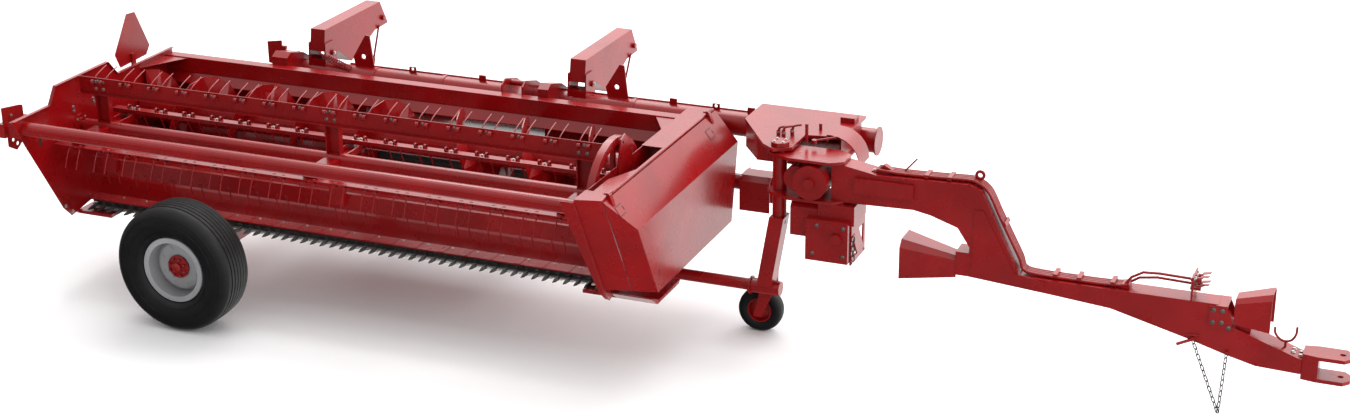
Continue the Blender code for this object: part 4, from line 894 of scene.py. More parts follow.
def main_tube():
    # The carrier tube with its end flange, lifting lugs and the two uprights beside the lift arms.
    tube = rod("main_tube", (TUBE_LEFT_X, TUBE_Y, TUBE_Z), (TUBE_RIGHT_X, TUBE_Y, TUBE_Z),
               TUBE_RADIUS, sides=24)
    end = rod("end", (TUBE_RIGHT_X - PLATE, TUBE_Y, TUBE_Z), (TUBE_RIGHT_X, TUBE_Y, TUBE_Z),
              TUBE_END_PLATE_RADIUS, sides=24)
    tube = fuse(tube, end)
    seat = TUBE_Z + TUBE_RADIUS - PLATE
    for share, has_eye in TUBE_LUG_ROWS:
        x = TUBE_LEFT_X + (TUBE_RIGHT_X - TUBE_LEFT_X) * share
        lug = box("lug", (x - LUG_WIDTH / 2, TUBE_Y - PLATE / 2, seat),
                  (x + LUG_WIDTH / 2, TUBE_Y + PLATE / 2, seat + LUG_HEIGHT))
        if has_eye:
            height = seat + LUG_HEIGHT * LUG_EYE_SHARE
            lug = cut(lug, pin("eye", "Y", (x, TUBE_Y, height), PLATE, LUG_HOLE_RADIUS, sides=10))
        tube = fuse(tube, lug)
    for x in UPRIGHT_PLACES:
        across = (x, x + UPRIGHT_WIDTH)
        up = (UPRIGHT_LOW_Z, UPRIGHT_TOP_Z)
        upright = plate("upright", spread_shares(across, up, UPRIGHT_SHARES), PLATE, "Y", TUBE_Y)
        (hole_x, hole_z), = spread_shares(across, up, (UPRIGHT_HOLE_SHARES,))
        eye = pin("eye", "Y", (hole_x, TUBE_Y, hole_z), PLATE, UPRIGHT_HOLE_RADIUS, sides=10)
        upright = cut(upright, eye)
        tube = fuse(tube, upright)
    return tube


HEADER_BRACKET_ROWS = (
    # name, middle x, width, whether it is a pair of plates
    ("header_bracket_left", 0.87, 0.13, False),
    ("header_bracket_middle", 2.77, 0.17, True),
    ("header_bracket_right", 3.01, 0.08, False),
)
BRACKET_REAR = 0.11
BRACKET_RISE = 0.19
BRACKET_DROP = 0.12
BRACKET_SHARES = (
    # from the rear beam to behind the tube, up the bracket
    (0.00, 0.16), (0.00, 0.90), (0.17, 1.00), (0.68, 0.84), (1.00, 0.61), (1.00, 0.19), (0.80, 0.00),
    (0.51, 0.00),
)
BRACKET_ROLLER_RADIUS = 0.022
BRACKET_ROLLER_SHARES = (0.40, 0.83)


def header_brackets():
    # Plates that hang the header's rear beam on the carrier tube; a pair is tied by a box and a roller.
    made = []
    front = HEADER_BACK_Y - SHEET + GAP
    along = (front, TUBE_Y + BRACKET_REAR)
    up = (TUBE_Z - BRACKET_DROP, TUBE_Z + BRACKET_RISE)
    outline = spread_shares(along, up, BRACKET_SHARES)
    (roller_y, roller_z), = spread_shares(along, up, (BRACKET_ROLLER_SHARES,))
    for name, x, width, paired in HEADER_BRACKET_ROWS:
        if paired:
            inner = width / 2 - PLATE / 2
            bracket = plate(name, outline, PLATE, "X", x - inner)
            other = plate("other", outline, PLATE, "X", x + inner)
            tie = box("tie", (x - inner, front + SHEET, TUBE_Z - TUBE_RADIUS),
                      (x + inner, TUBE_Y, TUBE_Z + TUBE_RADIUS))
            roller = pin("roller", "X", (x, roller_y, roller_z), inner, BRACKET_ROLLER_RADIUS, sides=10)
            bracket = fuse(bracket, tie, roller, other)
        else:
            bracket = plate(name, outline, width, "X", x)
        made.append(bracket)
    return made


FRAME_RIGHT_X = 5.30
FRAME_BEAM_X = 4.86              # where the box beam's right side meets the tube
FRAME_BEHIND_HEAD_Y = 0.94
FRAME_BEND_Y = 1.16
FRAME_WAIST_Y = 1.03
FRAME_NOSE = 0.09
HEAD_CLEARANCE = 0.012
COVER_ARC_X = 5.24
COVER_ARC_Z = 1.24
COVER_ARC_RADIUS = 0.20
COVER_ARC_Y = (0.93, 1.14)
COVER_ARC_STEPS = 6
COVER_FOOT = 0.03
CAP_BOX_LOW = (5.18, 1.31)
CAP_BOX_HIGH = (5.28, 1.40)
CAP_BOX_HEIGHT = 0.035


def arc(centre, radius, start, stop, steps):
    return [(centre[0] + radius * cos(start + (stop - start) * i / steps),
             centre[1] + radius * sin(start + (stop - start) * i / steps)) for i in range(steps + 1)]


def pivot_frame():
    # A tapered box beam from the tube to the pivot, a wedge plate over the tongue's head and a floor plate.
    top = PIVOT_FRAME_TOP_Z
    low = top - PIVOT_FRAME_HEIGHT
    left = PIVOT_FRAME_LEFT_X
    lid = HEAD_TOP_Z + HEAVY_PLATE / 2 + HEAD_CLEARANCE
    nose = [(PIVOT_X - FRAME_NOSE - OVERRUN, PIVOT_Y - OVERRUN), (PIVOT_X - OVERRUN, PIVOT_Y - FRAME_NOSE),
            (PIVOT_X + FRAME_NOSE, PIVOT_Y - OVERRUN)]
    wedge = [(left, TUBE_Y), (left, FRAME_BEND_Y)] + nose + [
        (PIVOT_X + FRAME_NOSE, FRAME_WAIST_Y - FRAME_NOSE / 2), (FRAME_RIGHT_X, FRAME_WAIST_Y),
        (FRAME_RIGHT_X, TUBE_Y)]
    frame = plate("pivot_frame", wedge, top - lid, "Z", (top + lid) / 2)
    inset = OVERRUN / 4
    taper = (PIVOT_X - FRAME_NOSE - left) * (FRAME_BEND_Y - FRAME_BEHIND_HEAD_Y) / (FRAME_BEND_Y - PIVOT_Y)
    beam = [(left + inset, TUBE_Y - inset), (left + inset, FRAME_BEND_Y + inset),
            (left + inset + taper, FRAME_BEHIND_HEAD_Y), (PIVOT_X + FRAME_NOSE / 2, FRAME_BEHIND_HEAD_Y),
            (FRAME_BEAM_X, TUBE_Y - inset)]
    frame = fuse(frame, plate("beam", beam, top - low - inset, "Z", (top + low - inset) / 2))
    base = [(left + inset * 2, TUBE_Y - inset * 2), (PIVOT_X - FRAME_NOSE, FRAME_WAIST_Y),
            (FRAME_RIGHT_X - inset, FRAME_WAIST_Y + inset), (FRAME_RIGHT_X - inset, TUBE_Y - inset * 2)]
    frame = fuse(frame, plate("floor", base, PLATE, "Z", low + PLATE))
    web = box("web", (FRAME_RIGHT_X - PLATE * 3, FRAME_WAIST_Y + PLATE, low + PLATE),
              (FRAME_RIGHT_X - PLATE * 2, TUBE_Y - inset * 3, top - PLATE / 2))
    frame = fuse(frame, web)
    centre = (COVER_ARC_X, COVER_ARC_Z)
    outer = arc(centre, COVER_ARC_RADIUS, pi / 2, 0, COVER_ARC_STEPS)
    inner = arc(centre, COVER_ARC_RADIUS - SHEET, 0, pi / 2, COVER_ARC_STEPS)
    foot = top - (top - lid) / 2
    shell = [(COVER_ARC_X - COVER_FOOT, foot), (COVER_ARC_X - COVER_FOOT, COVER_ARC_Z + COVER_ARC_RADIUS)]
    shell += outer + inner
    shell += [(COVER_ARC_X - COVER_FOOT + SHEET, COVER_ARC_Z + COVER_ARC_RADIUS - SHEET),
              (COVER_ARC_X - COVER_FOOT + SHEET, foot)]
    cover_low, cover_high = COVER_ARC_Y
    cover = plate("cover", shell, cover_high - cover_low, "Y", (cover_low + cover_high) / 2)
    cap = box("cap", (*CAP_BOX_LOW, foot), (*CAP_BOX_HIGH, top + CAP_BOX_HEIGHT))
    return fuse(frame, cover, cap)


POST_CAP_RADIUS = 0.064
LEG_FOOT_SHARE = 0.5


def pivot_post():
    # The king post, the leaning leg under it and the sleeve that takes the link tube.
    post = rod("pivot_post", (PIVOT_X, PIVOT_Y, PIVOT_LOW_Z), (PIVOT_X, PIVOT_Y, PIVOT_TOP_Z),
               PIVOT_RADIUS, sides=24)
    cap = rod("cap", (PIVOT_X, PIVOT_Y, PIVOT_FRAME_TOP_Z + GAP),
              (PIVOT_X, PIVOT_Y, PIVOT_TOP_Z + PLATE), POST_CAP_RADIUS, sides=8)
    half = LEG_WIDTH / 2
    low = LINK_Z + LINK_SLEEVE_RADIUS * LEG_FOOT_SHARE
    leg = [(PIVOT_X - half, PIVOT_LOW_Z + half), (PIVOT_X + half, PIVOT_LOW_Z + half),
           (PIVOT_X + half + LEG_LEAN, low), (PIVOT_X - half + LEG_LEAN, low)]
    leg_piece = plate("leg", leg, LEG_DEPTH, "Y", PIVOT_Y)
    foot_x = PIVOT_X + LEG_LEAN
    reach = LINK_SLEEVE_LENGTH / 2
    sleeve = pin("sleeve", "X", (foot_x, PIVOT_Y, LINK_Z), reach, LINK_SLEEVE_RADIUS, sides=20)
    return fuse(post, cap, leg_piece, sleeve)


STAND_TOP_Z = 0.52
STAND_KNEE_Z = 0.40
STAND_REACH = 0.055
STAND_AXLE_REACH = 0.03
SMALL_AXLE_RADIUS = 0.012


def wheel_stand():
    # Carries the small support wheel behind the foot.
    foot_x = PIVOT_X + LEG_LEAN
    front = PIVOT_Y + LEG_DEPTH / 2 + GAP
    inner = SMALL_WHEEL_Y - SMALL_WHEEL_WIDTH / 2 - RUNNING_GAP
    low = SMALL_WHEEL_RADIUS - STAND_AXLE_REACH
    outline = [(foot_x - STAND_REACH, STAND_TOP_Z), (foot_x + STAND_REACH, STAND_TOP_Z),
               (foot_x + STAND_REACH, STAND_KNEE_Z), (SMALL_WHEEL_X + STAND_AXLE_REACH, low),
               (SMALL_WHEEL_X - STAND_AXLE_REACH, low), (foot_x - STAND_REACH, STAND_KNEE_Z)]
    stand = plate("wheel_stand", outline, inner - front, "Y", (inner + front) / 2)
    axle = rod("axle", (SMALL_WHEEL_X, inner - PLATE / 2, SMALL_WHEEL_RADIUS),
               (SMALL_WHEEL_X, SMALL_WHEEL_Y + SMALL_WHEEL_WIDTH / 2, SMALL_WHEEL_RADIUS),
               SMALL_AXLE_RADIUS, sides=12, mat=PLATED)
    return fuse(stand, axle)


BEAD_RADIUS = 0.203       # seat of the tyre on the rim
RIM_WALL = 0.010
RIM_HUB_RADIUS = 0.080
RIM_DISH_RADIUS = 0.155
BEAD_HALF_WIDTH = TYRE_WIDTH * 0.35
FLANGE = 0.012
BEAD_SHARE = 0.02
RIM_FACE_SHARE = 0.13
RIM_DISC_SHARE = 0.03
ARM_SHARES = (
    # from the front end to the rear heel, up from the knee to the top
    (0.00, 0.53), (0.03, 1.00), (0.89, 1.00), (1.00, 0.43), (0.79, 0.41), (0.73, 0.34), (0.40, 0.00),
    (0.22, 0.37),
)


def lift_arms():
    # The transport lift's arms: knee-shaped box beams that reach back over the tube.
    outline = spread_shares((ARM_FRONT_Y, ARM_REAR_Y + ARM_HEEL), (ARM_KNEE_Z, ARM_TOP_Z), ARM_SHARES)
    rows = zip(("left", "right"), ARM_X)
    return [plate("lift_arm_" + name, outline, ARM_WIDTH, "X", x) for name, x in rows]


STAND_SHARES = ((0.0, 0.0), (0.87, 0.0), (1.0, 0.66), (0.77, 1.0), (0.12, 1.0))
STAND_FRONT = 0.06
STAND_BACK = 0.12
STAND_HEIGHT = 0.235
STAND_BASE_LIFT = 0.028


def arm_stands():
    # Pairs of plates on the carrier tube, tied by a base, that hold each lift arm.
    made = []
    along = (TUBE_Y - STAND_FRONT, TUBE_Y + STAND_BACK)
    outline = spread_shares(along, (TUBE_Z, TUBE_Z + STAND_HEIGHT), STAND_SHARES)
    base_top = TUBE_Z + TUBE_RADIUS + STAND_BASE_LIFT
    for name, x in zip(("left", "right"), ARM_X):
        half = ARM_WIDTH / 2 + GAP
        left, right = x - half - PLATE / 2, x + half + PLATE / 2
        stand = plate("arm_stand_" + name, outline, PLATE, "X", right)
        other = plate("other", outline, PLATE, "X", left)
        base = box("base", (left, TUBE_Y - STAND_FRONT + SHEET, TUBE_Z),
                   (right, TUBE_Y + STAND_FRONT + SHEET, base_top))
        made.append(fuse(stand, base, other))
    return made


TONGUE_SHARES = (
    # from the head to the front end, up from the front end's foot to the head's top
    (0.000, 1.000), (0.103, 0.944), (0.303, 0.964), (0.327, 0.934), (0.417, 0.383), (0.827, 0.388),
    (0.857, 0.250), (1.000, 0.097), (1.000, 0.000), (0.910, 0.010), (0.850, 0.056), (0.770, 0.128),
    (0.610, 0.255), (0.477, 0.291), (0.307, 0.332), (0.307, 0.536), (0.280, 0.658), (0.220, 0.719),
    (0.183, 0.740), (0.000, 0.724),
)
NECK_POINT = 14                  # the point of the outline behind the neck
DOUBLER_SHARES = (
    (0.315, 0.350), (0.315, 0.800), (0.335, 0.800), (0.405, 0.400), (0.470, 0.370), (0.470, 0.300),
)
HEAD_SHARES = (
    # along the head from behind the post, out from its middle
    (0.083, -0.577), (0.339, -1.0), (0.853, -1.0), (1.0, -0.577), (1.0, 0.577), (0.853, 1.0), (0.339, 1.0),
    (0.083, 0.577), (0.0, 0.0),
)
POCKET_SHARES = ((0.053, 0.811), (0.183, 0.913))
POCKET_DEPTH = 0.022
EAR_SHARES = (0.318, 1.010)
EAR_RADIUS = 0.034
EAR_HOLE_RADIUS = 0.015


def tongue_spots(shares):
    return spread_shares((TONGUE_HEAD_X, TONGUE_FRONT_X), (TONGUE_FOOT_Z, HEAD_TOP_Z), shares)


def tongue_beam():
    # The gooseneck, its doubled neck, the pocket and lifting eye on it, and the head's two plates.
    beam = plate("tongue_beam", tongue_spots(TONGUE_SHARES), TONGUE_WIDTH, "Y", PIVOT_Y)
    half = TONGUE_WIDTH / 2
    doubled = tongue_spots(DOUBLER_SHARES)
    for side in (-1, 1):
        beam = fuse(beam, plate("doubler", doubled, SHEET * 2, "Y", PIVOT_Y + side * half))
    (left, low), (right, high) = tongue_spots(POCKET_SHARES)
    face = PIVOT_Y - half
    pocket = box("pocket", (left, face - POCKET_DEPTH, low), (right, face + SHEET, high))
    slot = box("slot", (left - OVERRUN, face - POCKET_DEPTH + SHEET, low + PLATE),
               (right - OVERRUN, face - SHEET / 2, high - PLATE))
    (ear_x, ear_z), = tongue_spots((EAR_SHARES,))
    ear = pin("ear", "Y", (ear_x, PIVOT_Y, ear_z), PLATE / 2, EAR_RADIUS, sides=12)
    eye = pin("eye", "Y", (ear_x, PIVOT_Y, ear_z), PLATE, EAR_HOLE_RADIUS, sides=10)
    stem = box("stem", (ear_x - EAR_RADIUS / 2, PIVOT_Y - PLATE / 3, ear_z - EAR_RADIUS * 3),
               (ear_x + EAR_RADIUS / 2, PIVOT_Y + PLATE / 3, ear_z - EAR_HOLE_RADIUS))
    beam = fuse(beam, cut(pocket, slot), cut(fuse(ear, stem), eye))
    along = (PIVOT_X - HEAD_BACK, PIVOT_X + HEAD_REACH)
    reach = spread_shares(along, (PIVOT_Y, PIVOT_Y + HEAD_PLATE_WIDTH / 2), HEAD_SHARES)
    for z in (HEAD_TOP_Z, HEAD_LOW_Z):
        beam = fuse(beam, plate("head", reach, HEAVY_PLATE, "Z", z))
    return beam


CLEVIS_SHARES = (
    # from the block to the tip, out from the middle
    (0.0, -0.80), (0.30, -1.0), (0.86, -1.0), (1.0, -0.45),
    (1.0, 0.45), (0.86, 1.0), (0.30, 1.0), (0.0, 0.80),
)
CLEVIS_SLOT = 0.10
CLEVIS_HOLE_INSET = 0.06


def hitch_clevis():
    # Two lugs with the hitch pin's hole, on a block at the tongue's end.
    start = TONGUE_FRONT_X + GAP
    half = CLEVIS_WIDTH / 2
    low, high = CLEVIS_LOW_Z, CLEVIS_LOW_Z + CLEVIS_HEIGHT
    outline = spread_shares((start, HITCH_REACH), (PIVOT_Y, PIVOT_Y + half), CLEVIS_SHARES)
    block = plate("hitch_clevis", outline, CLEVIS_HEIGHT, "Z", (low + high) / 2)
    slot = box("slot", (start + CLEVIS_SLOT, PIVOT_Y - half - OVERRUN, low + CLEVIS_PLATE),
               (HITCH_REACH + OVERRUN, PIVOT_Y + half + OVERRUN, high - CLEVIS_PLATE))
    pin_x = HITCH_REACH - CLEVIS_HOLE_INSET
    hole = rod("hole", (pin_x, PIVOT_Y, low - OVERRUN), (pin_x, PIVOT_Y, high + OVERRUN), CLEVIS_HOLE_RADIUS)
    return cut(block, slot, hole)


DISC_X = 5.205
DISC_Z = 1.215
DISC_RADIUS = 0.115
DISC_REACH = 0.15
GEARBOX_RADIUS = 0.088
GEARBOX_REACH = 0.10
STACK_SHARE = 0.7
HUB_RADIUS = 0.036
HUB_REACH = 0.025


def pivot_gearbox():
    # The swivel gearbox between the head's plates, with its round cover facing both ways.
    body_x = PIVOT_X + PIVOT_RADIUS + RUNNING_GAP + GEARBOX_RADIUS
    body = pin("pivot_gearbox", "Y", (body_x, PIVOT_Y, DISC_Z), GEARBOX_REACH, GEARBOX_RADIUS, sides=20)
    centre = (DISC_X, PIVOT_Y, DISC_Z)
    disc = pin("disc", "Y", centre, DISC_REACH, DISC_RADIUS, sides=28)
    hub = pin("hub", "Y", centre, DISC_REACH + HUB_REACH, HUB_RADIUS, sides=12)
    stack_x = (DISC_X + body_x) / 2
    top = HEAD_TOP_Z - HEAVY_PLATE / 2 - GAP
    low = HEAD_LOW_Z + HEAVY_PLATE / 2 + GAP
    stack = rod("stack", (stack_x, PIVOT_Y, low), (stack_x, PIVOT_Y, top), GEARBOX_RADIUS * STACK_SHARE)
    return fuse(body, disc, hub, stack)


LOWER_BODY_LOW = (5.255, 0.640, 0.945)
LOWER_BODY_HIGH = (5.500, 0.900)
LOWER_COVER_LOW = (5.185, 0.600, 0.690)
LOWER_COVER_HIGH = (5.472, 0.760, 0.975)
LOWER_HUB_PLACE = (5.395, 0.860)
SIDE_PLATE_SPANS = ((0.655, 0.950), (0.665, 1.060))
SIDE_HOLE_SHARES = (((0.12, 0.10), (0.12, 0.48), (0.45, 0.10)), ((0.88, 0.14), (0.88, 0.52), (0.55, 0.52)))
SIDE_HOOD_X = (5.065, 5.300)
SIDE_HOOD_HALF = 0.105
SIDE_HOOD_Z = (0.830, 1.070)


def lower_gearbox():
    # The gearbox under the head, its front cover with the shaft's hub, a side plate and an open hood.
    top = HEAD_LOW_Z - HEAVY_PLATE / 2 - GAP
    body = box("lower_gearbox", LOWER_BODY_LOW, (*LOWER_BODY_HIGH, top))
    cover = box("cover", LOWER_COVER_LOW, LOWER_COVER_HIGH)
    hub_x, hub_z = LOWER_HUB_PLACE
    face = LOWER_COVER_LOW[1]
    hub = pin("hub", "Y", (hub_x, face, hub_z), HUB_REACH, HUB_RADIUS, sides=12)
    corners = ((0, 0), (1, 0), (1, 1), (0, 1))
    middle = LOWER_COVER_HIGH[0] + SHEET / 2
    side = plate("side", spread_shares(*SIDE_PLATE_SPANS, corners), SHEET * 2, "X", middle)
    for shares in SIDE_HOLE_SHARES:
        side = cut(side, plate("hole", spread_shares(*SIDE_PLATE_SPANS, shares), OVERRUN, "X", middle))
    left, right = SIDE_HOOD_X
    low, high = SIDE_HOOD_Z
    cowl = hood("cowl", PIVOT_Y, [(x, SIDE_HOOD_HALF, low, high - SHEET) for x in (left, right)])
    return fuse(body, cover, hub, side, cowl)


HOOD_CORNER_SHARE = 0.35


def hood(name, y, rows):
    # A tapered tunnel, open below and at both ends, over a drive shaft. Rows: x, half width, low, high.
    rings = []
    for x, half, low, high in rows:
        corner = half * HOOD_CORNER_SHARE
        outer = [(-half, low), (-half, high - corner), (-half + corner, high), (half - corner, high),
                 (half, high - corner), (half, low)]
        inner = [(half - SHEET, low), (half - SHEET, high - corner), (half - corner, high - SHEET),
                 (-half + corner, high - SHEET), (-half + SHEET, high - corner), (-half + SHEET, low)]
        rings.append([(x, y + across, z) for across, z in outer + inner])
    return loft(name, rings)


REAR_HOOD_ROWS = (
    # x, half width, low, high
    (5.81, 0.13, 0.64, 0.90),
    (6.17, 0.07, 0.68, 0.82),
)
REAR_HOOD_BRACKET = (0.70, 0.86)
SHAFT_BORE_RADIUS = 0.05
FRONT_HOOD_ROWS = (
    # x, half width, low, high
    (7.91, 0.080, 0.640, 0.800),
    (8.13, 0.095, 0.620, 0.865),
)
FRONT_HOOD_FOOT = (7.92, 8.02)
FRONT_HOOD_FOOT_HALF = 0.05


def tongue_top_at(x):
    # The height of the drawbar's sloping top at a place along it.
    (x_back, z_back), (x_front, z_front) = tongue_spots(TONGUE_SHARES[6:8])
    return z_back + (z_front - z_back) * (x - x_back) / (x_front - x_back)


def hoods():
    # The tunnel behind the neck, and the open hood over the drive shaft's front end.
    half = TONGUE_WIDTH / 2
    (neck_x, _), = tongue_spots((TONGUE_SHARES[NECK_POINT],))
    rear = hood("driveline_hood_rear", PIVOT_Y, REAR_HOOD_ROWS)
    start = REAR_HOOD_ROWS[1][0]
    low, high = REAR_HOOD_BRACKET
    bracket = box("bracket", (start - SHEET, PIVOT_Y - half, low), (neck_x - GAP, PIVOT_Y + half, high))
    middle = (REAR_HOOD_ROWS[1][2] + REAR_HOOD_ROWS[1][3]) / 2
    bore = rod("bore", (REAR_HOOD_ROWS[0][0], PIVOT_Y, middle), (start + OVERRUN * 2, PIVOT_Y, middle),
               SHAFT_BORE_RADIUS)
    front = hood("driveline_hood_front", PIVOT_Y, FRONT_HOOD_ROWS)
    left, right = FRONT_HOOD_FOOT
    base_z = FRONT_HOOD_ROWS[0][2]
    wide = FRONT_HOOD_ROWS[0][1]
    base = box("base", (left, PIVOT_Y - wide, base_z), (right, PIVOT_Y + wide, base_z + SHEET))
    left, right = left + SHEET, right - SHEET
    foot = [(left, tongue_top_at(left) + GAP), (right, tongue_top_at(right) + GAP),
            (right, base_z + SHEET / 2), (left, base_z + SHEET / 2)]
    foot = plate("foot", foot, FRONT_HOOD_FOOT_HALF * 2, "Y", PIVOT_Y)
    return [fuse(rear, cut(bracket, bore)), fuse(front, base, foot)]


PIPE_ROUTES = (
    # offset from the tongue's middle, then (x, z) along the pipe
    (-0.030, ((7.23, 0.775), (7.27, 0.835), (7.34, 0.878), (7.44, 0.885), (7.66, 0.880))),
    (0.030, ((7.25, 0.775), (7.31, 0.815), (7.42, 0.832), (7.66, 0.825))),
)
PIPE_RADIUS = 0.009
BULKHEAD_X = 7.655
BULKHEAD_HALF = 0.085
BULKHEAD_TOP_Z = 0.91
PIPE_FOOT = (7.215, 7.265)
PIPE_FOOT_HEIGHT = 0.030


def tongue_pipes():
    # Two steel pipes from a foot on the beam to the bulkhead plate that holds the hose couplings.
    seat = tongue_spots((TONGUE_SHARES[5],))[0][1] + GAP
    foot_left, foot_right = PIPE_FOOT
    plate_box = box("tongue_pipes", (BULKHEAD_X - PLATE, PIVOT_Y - BULKHEAD_HALF, seat),
                    (BULKHEAD_X, PIVOT_Y + BULKHEAD_HALF, BULKHEAD_TOP_Z))
    clip = box("clip", (foot_left, PIVOT_Y - BULKHEAD_HALF / 2, seat),
               (foot_right, PIVOT_Y + BULKHEAD_HALF / 2, seat + PIPE_FOOT_HEIGHT))
    pipes = []
    for offset, route in PIPE_ROUTES:
        points = [(x, PIVOT_Y + offset, z) for x, z in route]
        pipes.append(pipe("pipe", points, PIPE_RADIUS))
    return fuse(plate_box, *pipes, clip)


CHAIN_ROUTE = (
    # x, y, z from the rear stud down to the lowest link and up to the front stud
    (7.675, 0.655, 0.515), (7.868, 0.648, 0.045), (7.888, 0.658, 0.455),
)
CHAIN_PITCH = 0.036
CHAIN_LINK_LENGTH = 0.048
CHAIN_LINK_WIDTH = 0.026
CHAIN_WIRE = 0.007
LINK_TWIST = radians(20)


# Reel, wheels, cutter bar and chain

TINE_COIL_RADIUS = 0.016
TINE_COIL_TURNS = 2.5
TINE_COIL_STEPS = 10
TINE_COIL_PITCH = 0.85           # of the wire, for each turn
TINE_KNEE = 0.35                 # of the way from root to tip
TINE_KNEE_LIFT = 0.012
TINE_BOLT = 0.0085
TINE_BOLT_INSET = 0.022
ARM_BOLT = 0.010
SLAT_WASHER = (0.3, 1.35)        # thickness and radius as shares of the head's radius
ARM_BOLT_OFFSETS = [(across, up) for across in (-0.03, 0.03) for up in (-0.026, 0.026)]
ARM_BOLT_MIDDLE = SLAT_OUTER_RADIUS - SLAT_HEIGHT * 0.45


def slat_bolt(x, along, radius):
    # A hexagon head on the slat's outer face, drawn with the slat at the top of the reel.
    face = -SPIDER_ARM_DEPTH / 2 - GAP - SLAT_THICKNESS
    thick, wide = SLAT_WASHER
    root, step, seat, top = [(x, face - out, along) for out in (-WELD, radius * thick, 0, radius)]
    washer = rod("washer", root, step, radius * wide, 14, PLATED)
    return fuse(washer, rod("head", seat, top, radius, 6, PLATED))


def tine_coil(x, side, root_out, start):
    # The sprung turns between a tine's leg and its bolt.
    points = []
    steps = int(TINE_COIL_TURNS * TINE_COIL_STEPS)
    for index in range(steps + 1):
        angle = 2 * pi * index / TINE_COIL_STEPS
        points.append((x - side * TINE_WIRE * TINE_COIL_PITCH * index / TINE_COIL_STEPS,
                       start - TINE_COIL_RADIUS + TINE_COIL_RADIUS * cos(angle),
                       root_out - TINE_COIL_RADIUS + TINE_COIL_RADIUS * sin(angle)))
    return pipe("coil", points, TINE_WIRE / 2, sides=6)


def reel_bats():
    # Slats with a lip, sprung double tines and the bolts that hold both.
    made = []
    face = -(SPIDER_ARM_DEPTH / 2 + GAP)
    span = REEL_RIGHT - REEL_LEFT - 2 * TINE_INSET
    count = int(span / TINE_PITCH) + 1
    pitch = span / (count - 1)
    root_out = SLAT_OUTER_RADIUS * TINE_ROOT_SHARE
    for name, turns, (tip_out, tip_back) in BAT_ROWS:
        slat = box(name, (REEL_LEFT, face - SLAT_THICKNESS, SLAT_INNER_RADIUS),
                   (REEL_RIGHT, face, SLAT_OUTER_RADIUS))
        parts = [box("lip", (REEL_LEFT, face - SLAT_LIP, SLAT_INNER_RADIUS),
                     (REEL_RIGHT, face - SLAT_THICKNESS / 2, SLAT_INNER_RADIUS + SLAT_THICKNESS))]
        for index in range(count):
            middle = REEL_LEFT + TINE_INSET + pitch * index
            for side in (-1, 1):
                x = middle + side * TINE_LEG_SPACING / 2
                root = Vector((x, face, root_out - TINE_COIL_RADIUS))
                tip = Vector((x, face + SLAT_OUTER_RADIUS * tip_back, SLAT_OUTER_RADIUS * tip_out))
                knee = root.lerp(tip, TINE_KNEE) + Vector((0, 0, TINE_KNEE_LIFT))
                parts.append(pipe("tine", smooth_path((root, knee, tip), 4), TINE_WIRE / 2, sides=8))
                parts.append(tine_coil(x, side, root_out, face))
            parts.append(slat_bolt(middle, SLAT_OUTER_RADIUS - TINE_BOLT_INSET, TINE_BOLT))
        for x in spider_places():
            for across, up in ARM_BOLT_OFFSETS:
                parts.append(slat_bolt(x + across, ARM_BOLT_MIDDLE + up, ARM_BOLT))
        slat = fuse(slat, *parts)
        slat.data.transform(Matrix.Rotation(-turns * pi / 2, 4, "X"))
        slat.location = (0, REEL_Y, REEL_Z)
        made.append(slat)
    return made


TYRE_STEPS = 96
TYRE_RIBS = 7
RIB_ROWS = (
    # share of a rib's pitch, depth under the crown
    (0.06, 0), (0.80, 0), (0.86, 0.007), (1, 0.007),
)
SIDE_RING_RADII = (0.275, 0.335, 0.392)
SIDE_RING_WIRE = 0.0022
SIDE_RING_STRETCH = 1.4          # a ring is this much wider than high
TYRE_WALL_SHARES = (
    # out from the rim flange to the tread's shoulder, share of the half width
    (0.05, 0.80), (0.14, 0.90), (0.30, 0.975), (0.47, 1.00), (0.66, 0.985), (0.80, 0.93), (0.90, 0.84),
    (0.965, 0.72),
)


def value_at(spots, place):
    # The second value at a place among rows of two values; past the rows it is None.
    for (a, first), (b, second) in zip(spots, spots[1:]):
        if a <= place <= b:
            return first + (second - first) * (place - a) / (b - a)
    return None


def mirrored(side):
    return [(radius, -along) for radius, along in reversed(side)]


def round_wheel(name, profile, y, steps, mat=RED):
    return turned(name, profile, (AXLE_X, y, WHEEL_RADIUS), "Y", steps, mat)


def ribbed_tyre(name, y):
    # A towed wheel's tyre: straight ribs round the tread and fine rings on the walls.
    half = TYRE_WIDTH / 2
    wall = WHEEL_RADIUS - RIM_RADIUS
    side = [(BEAD_RADIUS, BEAD_HALF_WIDTH), (RIM_RADIUS + wall * BEAD_SHARE, BEAD_HALF_WIDTH)]
    side += [(RIM_RADIUS + wall * out, half * width) for out, width in TYRE_WALL_SHARES]
    top, shoulder = side[-1]
    pitch = 2 * shoulder / TYRE_RIBS
    tread = []
    for index in range(TYRE_RIBS):
        left = shoulder - pitch * index
        crown = top + (WHEEL_RADIUS - top) * (1 - ((left - pitch / 2) / shoulder) ** 2)
        tread += [(crown - deep, left - pitch * share) for share, deep in RIB_ROWS]
    parts = [round_wheel(name, side + tread[:-2] + mirrored(side), y, TYRE_STEPS, TYRE_RUBBER)]
    turns = [2 * pi * i / 6 for i in range(6)]
    wire = [(SIDE_RING_WIRE * cos(turn), SIDE_RING_WIRE * sin(turn) * SIDE_RING_STRETCH) for turn in turns]
    for way in (-1, 1):
        for radius in SIDE_RING_RADII:
            out = half * value_at(TYRE_WALL_SHARES, (radius - RIM_RADIUS) / wall) * way
            path = [(radius + up, out + along) for up, along in wire]
            parts.append(round_wheel("ring", path, y, TYRE_STEPS, TYRE_RUBBER))
    return fuse(*parts)


